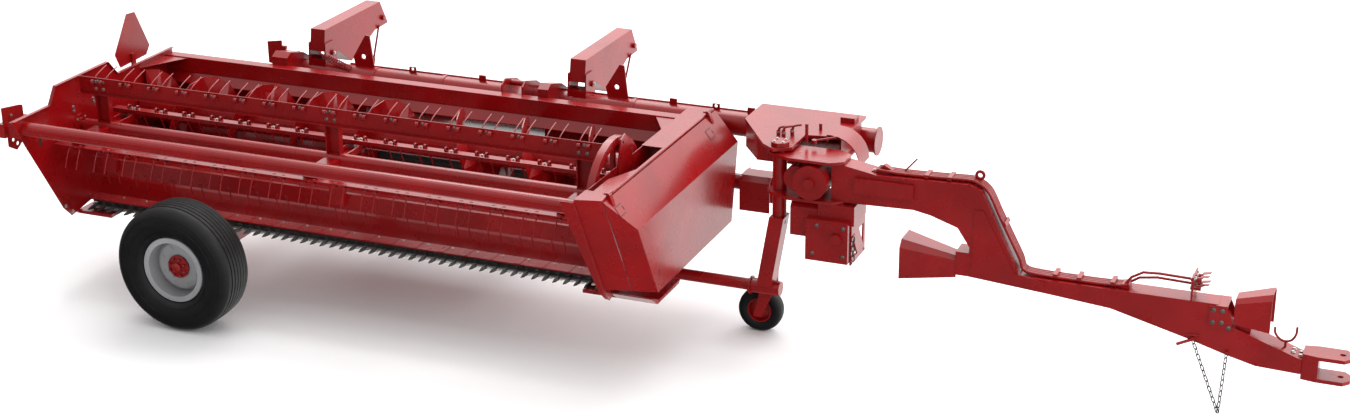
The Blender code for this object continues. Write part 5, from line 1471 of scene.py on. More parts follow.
RIM_STEPS = 64
HUB_STEPS = 40
CAP_STEPS = 28
RIM_LUGS = 8
RIM_FACE = TYRE_WIDTH * RIM_FACE_SHARE
RIM_DISC = TYRE_WIDTH * RIM_DISC_SHARE
RIM_SEAT = BEAD_RADIUS - GAP
RIM_INNER = BEAD_RADIUS - RIM_WALL
RIM_NEAR = BEAD_HALF_WIDTH + GAP
RIM_FAR = RIM_NEAR + FLANGE
HUB_FACE = TYRE_WIDTH * 0.25
HUB_BACK = -TYRE_WIDTH * 0.15
HUB_CORE = 0.001                 # a turned profile stays this far from the axle line
CAP_RADIUS = 0.034
RIM_PROFILE = (
    # radius, place across the wheel: the dish, the flange, the seat and back
    (RIM_HUB_RADIUS, RIM_FACE), (RIM_DISH_RADIUS, RIM_FACE), (RIM_DISH_RADIUS + 0.012, RIM_FACE - 0.006),
    (RIM_INNER - 0.004, RIM_DISC + 0.004), (RIM_INNER, RIM_DISC + 0.012), (RIM_INNER, RIM_FAR - 0.004),
    (RIM_INNER + 0.006, RIM_FAR), (RIM_RADIUS - 0.004, RIM_FAR), (RIM_RADIUS, RIM_FAR - 0.004),
    (RIM_RADIUS, RIM_NEAR), (RIM_SEAT, RIM_NEAR), (RIM_SEAT, -RIM_NEAR), (RIM_RADIUS, -RIM_NEAR),
    (RIM_RADIUS, -RIM_FAR), (RIM_INNER, -RIM_FAR), (RIM_INNER, RIM_DISC - RIM_WALL),
    (RIM_DISH_RADIUS, RIM_FACE - RIM_WALL), (RIM_HUB_RADIUS, RIM_FACE - RIM_WALL),
)
HUB_PROFILE = (
    (HUB_CORE, HUB_FACE - 0.012), (RIM_HUB_RADIUS - 0.014, HUB_FACE - 0.012),
    (RIM_HUB_RADIUS, HUB_FACE - 0.020), (RIM_HUB_RADIUS, RIM_FACE - RIM_WALL), (0.055, HUB_BACK),
    (HUB_CORE, HUB_BACK),
)
CAP_PROFILE = (
    (HUB_CORE, HUB_FACE + 0.016), (CAP_RADIUS * 0.6, HUB_FACE + 0.014), (CAP_RADIUS, HUB_FACE + 0.002),
    (CAP_RADIUS, HUB_FACE - 0.014), (HUB_CORE, HUB_FACE - 0.014),
)
RIM_BOLT_ROWS = (
    # name, finish, distance from the axle, foot's place across the wheel, length, radius, sides
    ("nut", RED, 0.062, HUB_FACE - 0.014, 0.013, 0.0105, 6),
    ("stud", PLATED, 0.062, HUB_FACE - 0.014, 0.019, 0.0055, 8),
    ("rivet", SILVER, RIM_DISH_RADIUS - 0.022, RIM_FACE - WELD, 0.004, 0.009, 12),
)
VALVE_RADIUS = 0.004
VALVE_LENGTH = 0.038
VALVE_INSET = 0.012
VALVE_LIFT = 0.004


def detailed_rim(name, y, side):
    # The silver drop rim and dish, with the red hub, its cap, wheel nuts, rivets and the valve.
    parts = []
    rows = ((name, RIM_PROFILE, RIM_STEPS, SILVER), ("hub", HUB_PROFILE, HUB_STEPS, RED),
            ("cap", CAP_PROFILE, CAP_STEPS, RED))
    for label, profile, steps, mat in rows:
        parts.append(round_wheel(label, [(r, side * t) for r, t in profile], y, steps, mat))
    for index in range(RIM_LUGS):
        angle = 2 * pi * (index + 0.5) / RIM_LUGS
        for label, mat, reach, foot, length, radius, sides in RIM_BOLT_ROWS:
            x = AXLE_X + reach * cos(angle)
            z = WHEEL_RADIUS + reach * sin(angle)
            start = y + side * foot
            parts.append(rod(label, (x, start, z), (x, start + side * length, z), radius, sides, mat))
    x, start = AXLE_X + RIM_INNER - VALVE_INSET, y + side * (RIM_DISC + VALVE_LIFT)
    parts.append(rod("valve", (x, start, WHEEL_RADIUS), (x, start + side * VALVE_LENGTH, WHEEL_RADIUS),
                     VALVE_RADIUS, 8, PLATED))
    return fuse(*parts)


SMALL_RIM_RADIUS = 0.082
SMALL_WHEEL_ROWS = (
    # name, finish, steps, then radius and share of the half width along one side
    ("small_wheel", TYRE_RUBBER, 48, (
        (SMALL_RIM_RADIUS, 0.72), (SMALL_RIM_RADIUS + 0.006, 0.86), (SMALL_WHEEL_RADIUS * 0.72, 1),
        (SMALL_WHEEL_RADIUS * 0.88, 0.95), (SMALL_WHEEL_RADIUS * 0.97, 0.72), (SMALL_WHEEL_RADIUS, 0.30))),
    ("disc", RED, 40, (
        (SMALL_AXLE_RADIUS + GAP, 1), (0.026, 1), (0.028, 0.35), (SMALL_RIM_RADIUS - 0.010, 0.2),
        (SMALL_RIM_RADIUS - 0.004, 0.80), (SMALL_RIM_RADIUS + 0.004, 0.80))),
)


def detailed_small_wheel():
    # The tyre and its red disc.
    parts = []
    for name, mat, steps, rows in SMALL_WHEEL_ROWS:
        side = [(radius, SMALL_WHEEL_WIDTH / 2 * share) for radius, share in rows]
        centre = (SMALL_WHEEL_X, SMALL_WHEEL_Y, SMALL_WHEEL_RADIUS)
        parts.append(turned(name, side + mirrored(side), centre, "Y", steps, mat))
    return fuse(*parts)


GUARD_ROWS = (
    # along the guard from its root, half width, below and above the knife
    (GUARD_LENGTH + CUTTER_BAR_DEPTH / 3, 0.018, 0.016, 0.012), (GUARD_LENGTH * 0.72, 0.014, 0.014, 0.012),
    (GUARD_LENGTH * 0.62, 0.010, 0.013, 0.013), (GUARD_LENGTH * 0.30, 0.0075, 0.010, 0.010),
    (0.004, 0.002, 0.002, 0.003),
)
GUARD_TOP_SHARE = 0.8            # a guard is this much narrower on top
KNIFE_LOW = 0.004                # the knife's back over the cutting plane
KNIFE_HIGH = 0.010
KNIFE_INSET = 0.01
KNIFE_FRONT = 0.022
LUG_ROWS = ((-0.46, -0.012), (0.46, -0.012), (0.46, 0.055), (-0.46, 0.055))
LUG_SHEET = 0.012
LUG_DROP = 0.008
SECTION_ROWS = (
    # share of the pitch from the guard, y
    (0.02, GUARD_LENGTH), (0.98, GUARD_LENGTH), (0.62, 0.052), (0.38, 0.052),
)
SECTION_SHEET = 0.003
GUARD_BOLT_PLACE = 0.62          # of the bar's depth
GUARD_BOLT = 0.0085
GUARD_BOLT_HEIGHT = 0.007


def detailed_cutter_bar():
    # The bar, the knife's back, and at every pitch a forged guard with its lug, a knife section and a bolt.
    width = GUARD_PITCH * GUARD_COUNT
    start = (PANEL_LEFT_X + PANEL_RIGHT_X - width) / 2
    top = PAN_LIP_Z - PAN_SHEET - GAP
    bolt_y = GUARD_LENGTH + CUTTER_BAR_DEPTH * GUARD_BOLT_PLACE
    bolt_top = top + GUARD_BOLT_HEIGHT
    bar = box("cutter_bar", (start, GUARD_LENGTH, top - CUTTER_BAR_THICKNESS),
              (start + width, GUARD_LENGTH + CUTTER_BAR_DEPTH, top), DARK_STEEL)
    parts = [box("back", (start + KNIFE_INSET, GUARD_LENGTH - KNIFE_FRONT, CUTTER_Z + KNIFE_LOW),
                 (start + width - KNIFE_INSET, GUARD_LENGTH + KNIFE_LOW, CUTTER_Z + KNIFE_HIGH), DARK_STEEL)]
    for index in range(GUARD_COUNT):
        x = start + GUARD_PITCH / 2 + GUARD_PITCH * index
        rings = []
        for y, half, low, high in GUARD_ROWS:
            narrow = half * GUARD_TOP_SHARE
            rings.append([(x - half, y, CUTTER_Z - low), (x + half, y, CUTTER_Z - low),
                          (x + narrow, y, CUTTER_Z + high), (x - narrow, y, CUTTER_Z + high)])
        parts.append(loft("guard", rings, DARK_STEEL))
        lug = [(x + GUARD_PITCH * share, GUARD_LENGTH + y) for share, y in LUG_ROWS]
        parts.append(plate("lug", lug, LUG_SHEET, "Z", CUTTER_Z - LUG_DROP, DARK_STEEL))
        if index < GUARD_COUNT - 1:
            section = [(x + GUARD_PITCH * share, y) for share, y in SECTION_ROWS]
            parts.append(plate("section", section, SECTION_SHEET, "Z", CUTTER_Z + SECTION_SHEET, PLATED))
        parts.append(rod("bolt", (x, bolt_y, top - WELD), (x, bolt_y, bolt_top), GUARD_BOLT, 6, PLATED))
    return fuse(bar, *parts)


CHAIN_SIDES = 6
STUD_SHARE = 1.1                 # a stud's radius as a share of the wire


def chain_ring(place, way, turn):
    # One link bent from round wire, along a run of the chain and turned about it.
    half = CHAIN_LINK_LENGTH / 2 - CHAIN_LINK_WIDTH / 2
    radius = CHAIN_LINK_WIDTH / 2 - CHAIN_WIRE / 2
    points = []
    for end, start in ((1, -pi / 2), (-1, pi / 2)):
        for index in range(7):
            angle = start + pi * index / 6
            points.append(Vector((end * half + radius * cos(angle), radius * sin(angle), 0)))
    turned_way = way.to_track_quat("X", "Z").to_matrix() @ Matrix.Rotation(turn, 3, "X")
    points = [turned_way @ spot + place for spot in points]
    rings = sweep_rings([points[-1], *points, points[0]], CHAIN_WIRE / 2, CHAIN_SIDES)[1:-1]
    shape, rows = skin(rings)
    last, first = rows[-1], rows[0]
    shift = min(range(CHAIN_SIDES), key=lambda s: (last[0].co - first[s].co).length)
    for i in range(CHAIN_SIDES):
        j = (i + 1) % CHAIN_SIDES
        near, far = (i + shift) % CHAIN_SIDES, (j + shift) % CHAIN_SIDES
        shape.faces.new((last[i], last[j], first[far], first[near]))
    return solid("safety_chain", shape, DARK_STEEL)


def chain_run(spots):
    links = []
    for start, stop in zip(spots, spots[1:]):
        run = Vector(stop) - Vector(start)
        count = round(run.length / CHAIN_PITCH)
        for index in range(count):
            turn = pi / 2 * (len(links) % 2) + LINK_TWIST
            links.append(chain_ring(Vector(start) + run * (index + 0.5) / count, run.normalized(), turn))
    return links


def safety_chain():
    # A loop of chain that hangs beside the drawbar from two welded studs.
    links = chain_run(CHAIN_ROUTE)
    beam_side = PIVOT_Y - TONGUE_WIDTH / 2 + SHEET
    radius = CHAIN_WIRE * STUD_SHARE
    for x, y, z in (CHAIN_ROUTE[0], CHAIN_ROUTE[-1]):
        links.append(rod("stud", (x, y - CHAIN_WIRE * 2, z), (x, beam_side, z), radius, sides=12))
    return fuse(*links)


SHORT_CHAIN_ROUTE = ((5.500, 0.628, 0.880), (5.502, 0.624, 0.716))
SHORT_CHAIN_STUD = ((5.499, 0.66, 0.884), (5.499, 0.618, 0.884), 0.007)


def short_chain():
    # A few links that hang at the lower gearbox's right edge.
    links = chain_run(SHORT_CHAIN_ROUTE)
    links.append(rod("stud", *SHORT_CHAIN_STUD, sides=10))
    return named("gearbox_chain", fuse(*links))


# Fittings

BOLT_WASHER = (0.28, 1.4)        # thickness and radius as shares of the head's size
LARGE_BOLT = 0.011
COVER_BOLT = 0.010
PANEL_BOLT = 0.0095
PLATE_BOLT = 0.009
RAIL_BOLT = 0.0085
CAP_BOLT = 0.008
SMALL_BOLT = 0.007


def named(name, obj):
    obj.name = name
    return obj


def bolt(place, way, size):
    # A washer and a hexagon head that stands on a face; way points out of the face.
    start = Vector(place)
    out = Vector(way).normalized()
    thick, wide = BOLT_WASHER
    washer = rod("bolt", start - out * WELD, start + out * size * thick, size * wide, 16, PLATED)
    return fuse(washer, rod("head", start, start + out * size, size, 6, PLATED))


FRONT, BACK, UP, RIGHT, LEFT = (0, -1, 0), (0, 1, 0), (0, 0, 1), (1, 0, 0), (-1, 0, 0)
TONGUE_FACE_Y = PIVOT_Y - TONGUE_WIDTH / 2
TONGUE_BACK_Y = PIVOT_Y + TONGUE_WIDTH / 2
BRACKET_BOLTS = ((7.787, 0.638), (7.787, 0.719), (7.840, 0.643), (7.842, 0.720), (7.885, 0.614))
HOOK_BOLTS = ((8.272, 0.727), (8.316, 0.727), (8.272, 0.775), (8.316, 0.775))
GEARBOX_BOLTS = ((5.262, 0.935), (5.235, 0.74), (5.440, 0.935), (5.440, 0.74))
SIDE_PLATE_BOLTS = ((0.670, 0.68), (0.670, 1.03), (0.935, 0.68), (0.935, 1.03))
BULKHEAD_BOLTS = ((-0.07, 0.79), (-0.07, 0.89), (0.07, 0.79), (0.07, 0.89))
BRACKET_OUTLINE = ((7.76, 0.612), (7.90, 0.585), (7.905, 0.66), (7.865, 0.745), (7.765, 0.745))
BRACKET_CAP_X = (7.80, 7.87)
BRACKET_CAP_Z = (0.742, 0.752)
TONGUE_ROD_ROWS = (
    # name, both ends as x, place from the tongue's front face and height, radius, sides
    ("pin", (7.585, -0.035, 0.468), (7.715, 0.02, 0.512), 0.010, 12),
    ("bar", (7.64, -0.004, 0.525), (7.72, -0.004, 0.535), 0.006, 10),
)
HOOK_WIRE = 0.0075
HOOK_X = 8.22
HOOK_LOW_Z = 0.546
HOOK_ROUTE = (
    # x, height along the hook
    (8.15, 0.63), (8.155, 0.590), (8.185, 0.556), (HOOK_X, HOOK_LOW_Z),
    (8.255, 0.560), (8.277, 0.600), (8.28, 0.65),
)


def tongue_line(x):
    # The height of the tongue's upper edge at x.
    spots = tongue_spots(TONGUE_SHARES)[:8]
    return value_at(spots, x) or spots[-1][1]


def tongue_fittings():
    # Bolts, clamps, the hook and the pin rod on the tongue.
    face, back = TONGUE_FACE_Y, TONGUE_BACK_Y
    rows = (
        ([(x, face - PLATE, z) for x, z in BRACKET_BOLTS], FRONT, LARGE_BOLT),
        ([(x, back + PLATE, z) for x, z in BRACKET_BOLTS], BACK, LARGE_BOLT),
        ([(x, y, tongue_line(x)) for x, y in HOOK_BOLTS], UP, LARGE_BOLT),
        ([(x, LOWER_COVER_LOW[1], z) for x, z in GEARBOX_BOLTS], FRONT, COVER_BOLT),
        ([(LOWER_COVER_HIGH[0] + SHEET, y, z) for y, z in SIDE_PLATE_BOLTS], RIGHT, PLATE_BOLT),
        ([(BULKHEAD_X, PIVOT_Y + offset, z) for offset, z in BULKHEAD_BOLTS], RIGHT, SMALL_BOLT),
    )
    heads = [bolt(place, way, size) for places, way, size in rows for place in places]
    middles = (face - PLATE / 2, back + PLATE / 2)
    brackets = [plate("bracket", BRACKET_OUTLINE, PLATE, "Y", y) for y in middles]
    (left, right), (low, high) = BRACKET_CAP_X, BRACKET_CAP_Z
    hook = smooth_path([(x, PIVOT_Y, z) for x, z in HOOK_ROUTE], 5)
    stem = [(HOOK_X, PIVOT_Y, z) for z in (tongue_line(HOOK_X) - SHEET, HOOK_LOW_Z)]
    brackets += [
        box("cap", (left, face - PLATE, low), (right, back + PLATE, high)),
        pipe("hook", hook, HOOK_WIRE, sides=12), rod("stem", *stem, HOOK_WIRE, sides=12),
    ]
    for name, (x, out, z), (far_x, far_out, far_z), radius, sides in TONGUE_ROD_ROWS:
        brackets.append(rod(name, (x, face + out, z), (far_x, face + far_out, far_z), radius, sides))
    return [named("tongue_bolts", fuse(*heads)), named("tongue_brackets", fuse(*brackets))]


HOSE_RADIUS = 0.011
HOSE_OFFSETS = (-0.036, -0.012, 0.012, 0.036)
HOSE_CLEARANCE_SHARE = 0.2
HOSE_ROUTE = (
    # x along the tongue and height over its upper edge
    (5.62, 0.020), (5.80, 0.012), (6.05, 0.012), (6.215, 0.014), (6.272, 0.018),
)
NECK_ROUTE = ((6.330, 1.265), (6.400, 1.130), (6.480, 0.978), (6.548, 0.850))
NECK_SHIFT = (0.020, 0.008)
LOW_ROUTE = ((6.600, 0.783), (6.70, 0.766), (6.90, 0.764), (7.08, 0.764), (7.20, 0.772), (7.262, 0.785))
CLAMP_ROWS = (
    # x and height of the clamp's middle, shift along x, tilt of the run in degrees
    (5.95, None, 0, 0), (6.10, None, 0, 0), (6.438, 1.062, 0.018, 62), (6.80, 0.764, 0, 0),
    (6.95, 0.764, 0, 0), (7.16, 0.766, 0, 0),
)
CLAMP_LIFT = 0.010
CLAMP_LOW = (-0.014, -0.056, -0.006)
CLAMP_HIGH = (0.014, 0.056, 0.018)


def tongue_lines():
    # Four lines clipped along the tongue's upper edge, from the pivot down the neck to the pipes' foot.
    hoses = []
    for offset in HOSE_OFFSETS:
        route = [(x, tongue_line(x) + lift + HOSE_RADIUS * HOSE_CLEARANCE_SHARE) for x, lift in HOSE_ROUTE]
        route += [(x + NECK_SHIFT[0], z + NECK_SHIFT[1]) for x, z in NECK_ROUTE]
        points = [(x, PIVOT_Y + offset, z) for x, z in route + list(LOW_ROUTE)]
        hoses.append(pipe("tongue_lines", smooth_path(points, 5), HOSE_RADIUS))
    for x, z, shift, tilt in CLAMP_ROWS:
        middle = tongue_line(x) + HOSE_RADIUS if z is None else z + CLAMP_LIFT
        clip = box("clip", CLAMP_LOW, CLAMP_HIGH)
        clip.data.transform(Matrix.Rotation(radians(tilt), 4, "Y"))
        clip.location = (x + shift, PIVOT_Y, middle)
        hoses.append(clip)
    return fuse(*hoses)


COUPLER_PLACES = ((-0.030, 0.880), (0.030, 0.880), (-0.030, 0.825), (0.030, 0.825))
COUPLER_LENGTH = 0.040
COUPLER_RADIUS = 0.017
COUPLER_NUT = 0.012
COUPLER_NUT_RADIUS = 0.019
FLAP_OUTLINE = ((0, -0.020), (0.052, -0.016), (0.056, 0.016), (0, 0.020))
FLAP_SHEET = 0.004
FLAP_TILT = radians(-12)
FLAP_SHIFT = (0.034, 0.019)


def couplers():
    # The hose couplings on the bulkhead, each with its cap flap.
    made = []
    for offset, z in COUPLER_PLACES:
        y = PIVOT_Y + offset
        flap = plate("flap", FLAP_OUTLINE, FLAP_SHEET, "Z", 0)
        flap.data.transform(Matrix.Rotation(FLAP_TILT, 4, "Y"))
        flap.location = (BULKHEAD_X + FLAP_SHIFT[0], y, z + FLAP_SHIFT[1])
        made += [rod("couplers", (BULKHEAD_X, y, z), (BULKHEAD_X + COUPLER_LENGTH, y, z), COUPLER_RADIUS, 14),
                 rod("nut", (BULKHEAD_X - PLATE - COUPLER_NUT, y, z), (BULKHEAD_X + COUPLER_NUT, y, z),
                     COUPLER_NUT_RADIUS, 6, PLATED), flap]
    return fuse(*made)


LID_Z = PIVOT_FRAME_TOP_Z
STOP_PIN_ROWS = (
    # name, x, y, top of a stop pin on the lid
    ("pivot_fittings", 5.095, 0.869, 1.52), ("pin", 5.105, 1.124, 1.442),
)
STOP_PIN_RADIUS = 0.011
HOSE_BLOCK_ROWS = (
    # x, y, height of a hose block on the lid
    (4.880, 0.93, 0.034), (4.925, 0.90, 0.050), (4.965, 0.96, 0.044),
)
ELBOW_ROUTE = (
    # from the block's top along x, y and up
    (0, 0, -0.004), (0.012, 0.006, 0.016), (0.052, 0.030, 0.020),
)
HOSE_BLOCK_RADIUS = 0.014
ELBOW_RADIUS = 0.008
LEVER_RADIUS = 0.007
HOSE_NUT_SHARES = (0.45, 0.75)
HOSE_NUT_RADIUS = 0.017
LEVER_ROUTE = (
    # x, y, height over the lid
    (5.150, 0.862, 0.012), (5.200, 0.880, 0.022), (5.275, 0.930, 0.030),
)
KNOB_HEIGHT = 0.020
KNOB_RADIUS = 0.018
CAP_BOLT_CIRCLE = 0.042


def bolt_circle(centre, radius):
    # Four places on a circle, as two values each.
    turns = [pi / 2 * index + pi / 4 for index in range(4)]
    return [(centre[0] + radius * cos(turn), centre[1] + radius * sin(turn)) for turn in turns]


def pivot_fittings():
    # The post's cap bolts, hose fittings, two stop pins and the lever on the frame's lid.
    seat = LID_Z - SHEET
    made = [rod(name, (x, y, seat), (x, y, z), STOP_PIN_RADIUS, 12) for name, x, y, z in STOP_PIN_ROWS]
    for x, y, high in HOSE_BLOCK_ROWS:
        elbow = smooth_path([(x + right, y + back, LID_Z + high + up) for right, back, up in ELBOW_ROUTE], 4)
        low, top = (LID_Z + high * share for share in HOSE_NUT_SHARES)
        made += [rod("block", (x, y, seat), (x, y, LID_Z + high), HOSE_BLOCK_RADIUS, 6),
                 pipe("elbow", elbow, ELBOW_RADIUS),
                 rod("nut", (x, y, low), (x, y, top), HOSE_NUT_RADIUS, 6, PLATED)]
    lever = smooth_path([(x, y, LID_Z + up) for x, y, up in LEVER_ROUTE], 4)
    made.append(pipe("lever", lever, LEVER_RADIUS))
    x, y, _ = LEVER_ROUTE[0]
    made.append(rod("knob", (x, y, seat), (x, y, LID_Z + KNOB_HEIGHT), KNOB_RADIUS, sides=14))
    for x, y in bolt_circle((PIVOT_X, PIVOT_Y), CAP_BOLT_CIRCLE):
        made.append(bolt((x, y, PIVOT_TOP_Z + PLATE), UP, CAP_BOLT))
    return fuse(*made)


LATCH_X = 5.64
LATCH_PLATE = ((5.585, 0.715), (5.675, 0.785), 0.014)
LATCH_WEDGE = ((5.60, 0.010), (5.665, 0.058), (5.735, 0.020), (5.735, 0.004))
LATCH_WEDGE_WIDTH = 0.045
LATCH_BOLTS = ((5.60, 0.735), (5.66, 0.770))
THIN_ROD = (5.770, 5.874, 1.420, 0.0055)   # x of foot and top, height of the top, radius


def tongue_top_fittings():
    # The latch lever and its thin rod on the tongue behind the neck.
    base = tongue_line(LATCH_X)
    near, far, height = LATCH_PLATE
    wedge = [(x, base + up) for x, up in LATCH_WEDGE]
    foot_x, top_x, top_z, radius = THIN_ROD
    foot = (foot_x, PIVOT_Y, tongue_line(foot_x) - SHEET)
    made = [box("tongue_latch", (*near, base - SHEET), (*far, base + height)),
            plate("wedge", wedge, LATCH_WEDGE_WIDTH, "Y", PIVOT_Y),
            rod("rod", foot, (top_x, PIVOT_Y, top_z), radius, sides=10)]
    made += [bolt((x, y, base + height), UP, CAP_BOLT) for x, y in LATCH_BOLTS]
    return fuse(*made)


SPRING_START = (1.15, 1.455, 1.372)
SPRING_STOP = (1.36, 1.455, 1.292)
SPRING_RADIUS = 0.024
SPRING_WIRE = 0.0045
SPRING_TURNS = 13
SPRING_STEPS = 12
SPRING_EYE = (0.06, 0.01)        # how far an eye's rod reaches out of the spring and into it
SPRING_EYE_WIRE = 0.007
REAR_ROD = (2.25, 1.395, 1.10)   # y, top, foot
REAR_ROD_SHIFTS = (0.012, -0.055)
REAR_CLEVIS = ((-0.060, 1.075), (-0.052, 1.120), 0.014)
ARM_PIN_ROWS = (
    # name, y, z, start out from the arm's side, length, radius
    ("pin", TUBE_Y + 0.055, 1.375, PLATE, 0.016, 0.022), ("rear_pin", 2.33, 1.432, 0, 0.020, 0.020),
)


def lift_fittings():
    # The float spring beside the left arm, the rear arm's hanging rod and the arms' pin caps.
    start, stop = Vector(SPRING_START), Vector(SPRING_STOP)
    way = (stop - start).normalized()
    side = way.orthogonal().normalized()
    other = way.cross(side)
    points = []
    steps = SPRING_TURNS * SPRING_STEPS
    for index in range(steps + 1):
        angle = 2 * pi * index / SPRING_STEPS
        out = side * cos(angle) + other * sin(angle)
        points.append(start.lerp(stop, index / steps) + out * SPRING_RADIUS)
    away, into = SPRING_EYE
    made = [pipe("lift_fittings", points, SPRING_WIRE, sides=6),
            rod("eye", start - way * away, start + way * into, SPRING_EYE_WIRE, sides=10),
            rod("eye", stop - way * into, stop + way * away, SPRING_EYE_WIRE, sides=10)]
    y, top, foot = REAR_ROD
    (near, low), (far, high), clevis_radius = REAR_CLEVIS
    start, stop = REAR_ROD_SHIFTS
    for x in ARM_X:
        right = x + ARM_WIDTH / 2
        made += [rod("rear_rod", (right + start, y, top), (right + stop, y, foot), HOOK_WIRE, 10),
                 rod("clevis", (right + near, y, low), (right + far, y, high), clevis_radius, 10)]
        for end in (-1, 1):
            for name, along, up, out, length, radius in ARM_PIN_ROWS:
                face = x + end * (ARM_WIDTH / 2 + out)
                made.append(rod(name, (face, along, up), (face + end * length, along, up), radius))
                if out:
                    made.append(bolt((face + end * length, along, up), (end, 0, 0), PLATE_BOLT))
    return fuse(*made)


SIGN_Y = 1.49
SIGN_STALK = ((0.755, SIGN_Y, 1.36), (0.90, SIGN_Y, 1.36), 0.014)
SIGN_FOOT = ((0.875, 1.475, 1.30), (0.90, 1.505, 1.375))
SIGN_CLIP = ((0.755, 1.478, 1.375), (0.790, 1.502, 1.405))
SIGN_OUTLINE = ((0.63, 1.26), (0.74, 1.245), (0.755, 1.30), (0.755, 1.445), (0.63, 1.425))


def small_sign():
    # A small blank plate on its stalk at the carrier tube's left end.
    return fuse(rod("small_sign", *SIGN_STALK, sides=12), plate("sheet", SIGN_OUTLINE, SHEET, "Y", SIGN_Y),
                box("foot", *SIGN_FOOT), box("clip", *SIGN_CLIP))


PANEL_BOLTS = (
    (0.055, 1.274), (0.058, 1.244), (0.281, 1.270), (0.286, 1.245), (-0.15, 0.601), (-0.081, 0.538),
)
RAIL_BOLTS = ((-0.352, 1.19), (-0.24, 1.142), (-0.341, 1.311))
BEARING_ROWS = (
    # y, z, flange radius
    (REEL_Y, REEL_Z, 0.075), (AUGER_Y, AUGER_Z, 0.125),
)
FLANGE_THICKNESS = 0.008
BOSS_LENGTH = 0.018
BOSS_SHARE = 0.62
FLANGE_BOLT_SHARE = 0.80
# Corners of the painted shade that stands for the left panel's slot
PANEL_SLOT = ((-0.352, 1.118), (-0.325, 1.166))
SEAM_LIFT = 0.001


def panel_fittings():
    # Bolts and bearing flanges on the header's end panels, and a dark box on the left panel that stands for
    # its slot as painted shade.
    inner = PANEL_LEFT_X + SHEET / 2
    made = []
    for y, z in PANEL_BOLTS:
        made.append(bolt((inner, y, z), RIGHT, PANEL_BOLT))
        made.append(bolt((PANEL_LEFT_X - SHEET / 2, y, z), LEFT, PANEL_BOLT))
    for wall, way in ((inner, 1), (PANEL_RIGHT_X - SHEET / 2, -1)):
        for y, z, radius in BEARING_ROWS:
            start, face, top = wall, wall + way * FLANGE_THICKNESS, wall + way * BOSS_LENGTH
            made += [rod("flange", (start, y, z), (face, y, z), radius, 36),
                     rod("boss", (start, y, z), (top, y, z), radius * BOSS_SHARE, 32)]
            spots = bolt_circle((y, z), radius * FLANGE_BOLT_SHARE)
            made += [bolt((face, *spot), (way, 0, 0), SMALL_BOLT) for spot in spots]
    low, high = PANEL_SLOT
    # A dark box flush with the panel's inner face: painted shade where the slot opens, in place of a hole
    made.append(box("slot", (inner - GAP, *low), (inner + SEAM_LIFT, *high), SEAM_AND_HOLE_SHADE))
    rail = REAR_REACH + LAMP_RAIL_DEPTH
    made += [bolt((rail, y, z), RIGHT, RAIL_BOLT) for y, z in RAIL_BOLTS]
    return named("panel_fittings", fuse(*made))


SEAM_COUNT = 22
SEAM_NEAR = 0.002
SEAM_FAR = 0.112
SEAM_TOP = 0.003
SEAM_WIDTH = 0.012
CLIP_WIDTH = 0.045
CLIP_EVERY = 3
LIP_BOLT_SHIFT = (0.05, 0.085)


def floor_seams():
    # The joints between the floor's sheets on its front lip, and the clips that hold the knife down.
    made = []
    near, far = PAN_LIP_Y + SEAM_NEAR, PAN_LIP_Y + SEAM_FAR
    low, high = PAN_LIP_Z - SEAM_LIFT, PAN_LIP_Z + SEAM_TOP
    for index in range(1, SEAM_COUNT):
        x = INNER_LEFT + INNER_WIDTH * index / SEAM_COUNT
        width = SEAM_WIDTH if index % CLIP_EVERY else CLIP_WIDTH
        made.append(plate("floor_seams", [(near, low), (far, low), (far, high), (near, high)], width, "X", x))
        made.append(bolt((x + LIP_BOLT_SHIFT[0], PAN_LIP_Y + LIP_BOLT_SHIFT[1], PAN_LIP_Z), UP, SMALL_BOLT))
    return fuse(*made)


INLAY = 0.0012                   # how far a dark inlay stands out of the cover
KEYHOLE = (-0.060, 0.757)
KEYHOLE_RADIUS = 0.011
KEY_SLIT = ((-0.066, 0.722), (-0.054, 0.756))
LATCH_PLACES_Y = (-0.43, 1.08)
LATCH_INSET = 0.052
LATCH_STRIPS = (
    # low and high corner of each strip round a latch
    ((0, -0.045), (0.004, 0.045)), ((0.066, -0.045), (0.070, 0.045)), ((0, -0.045), (0.070, -0.041)),
    ((0.022, 0.041), (0.048, 0.045)),
)


def shield_fittings():
    # A dark disc and slit as painted shade of the keyhole's opening, and dark seam lines round the latches on
    # the cover.
    out = SHIELD_INNER_X + SHIELD_FULL_WIDTH
    inside, outside = out - SEAM_LIFT, out + INLAY
    low, high = KEY_SLIT
    # The keyhole's disc and slit are painted shade of its opening, not cut through the cover
    made = [rod("cover_latches", (inside, *KEYHOLE), (outside, *KEYHOLE), KEYHOLE_RADIUS, 18, SEAM_AND_HOLE_SHADE),
            box("slit", (inside, *low), (outside, *high), SEAM_AND_HOLE_SHADE)]
    slope = atan2(SHIELD_TOP_Z - SHIELD_BEND_Z, SHIELD_FULL_WIDTH - SHIELD_TOP_WIDTH)
    height = SHIELD_TOP_Z - LATCH_INSET * tan(slope) + INLAY
    for y in LATCH_PLACES_Y:
        for low, high in LATCH_STRIPS:
            strip = box("strip", (*low, 0), (*high, INLAY), SEAM_AND_HOLE_SHADE)
            strip.data.transform(Matrix.Rotation(slope, 4, "Y"))
            strip.location = (SHIELD_INNER_X + SHIELD_TOP_WIDTH + LATCH_INSET, y, height)
            made.append(strip)
    return fuse(*made)


BAND_SHARES = (0.18, 0.30, 0.52, 0.62, 0.90)
BAND_HALF = 0.014
BAND_RADII = (TUBE_RADIUS - 0.001, TUBE_RADIUS + 0.005)
LINE_QUARTERS = (0.35, 0.62)
LINE_ENDS_X = (1.30, 4.62)
LINE_RADIUS = 0.0075
LINE_STANDOFF = 0.008


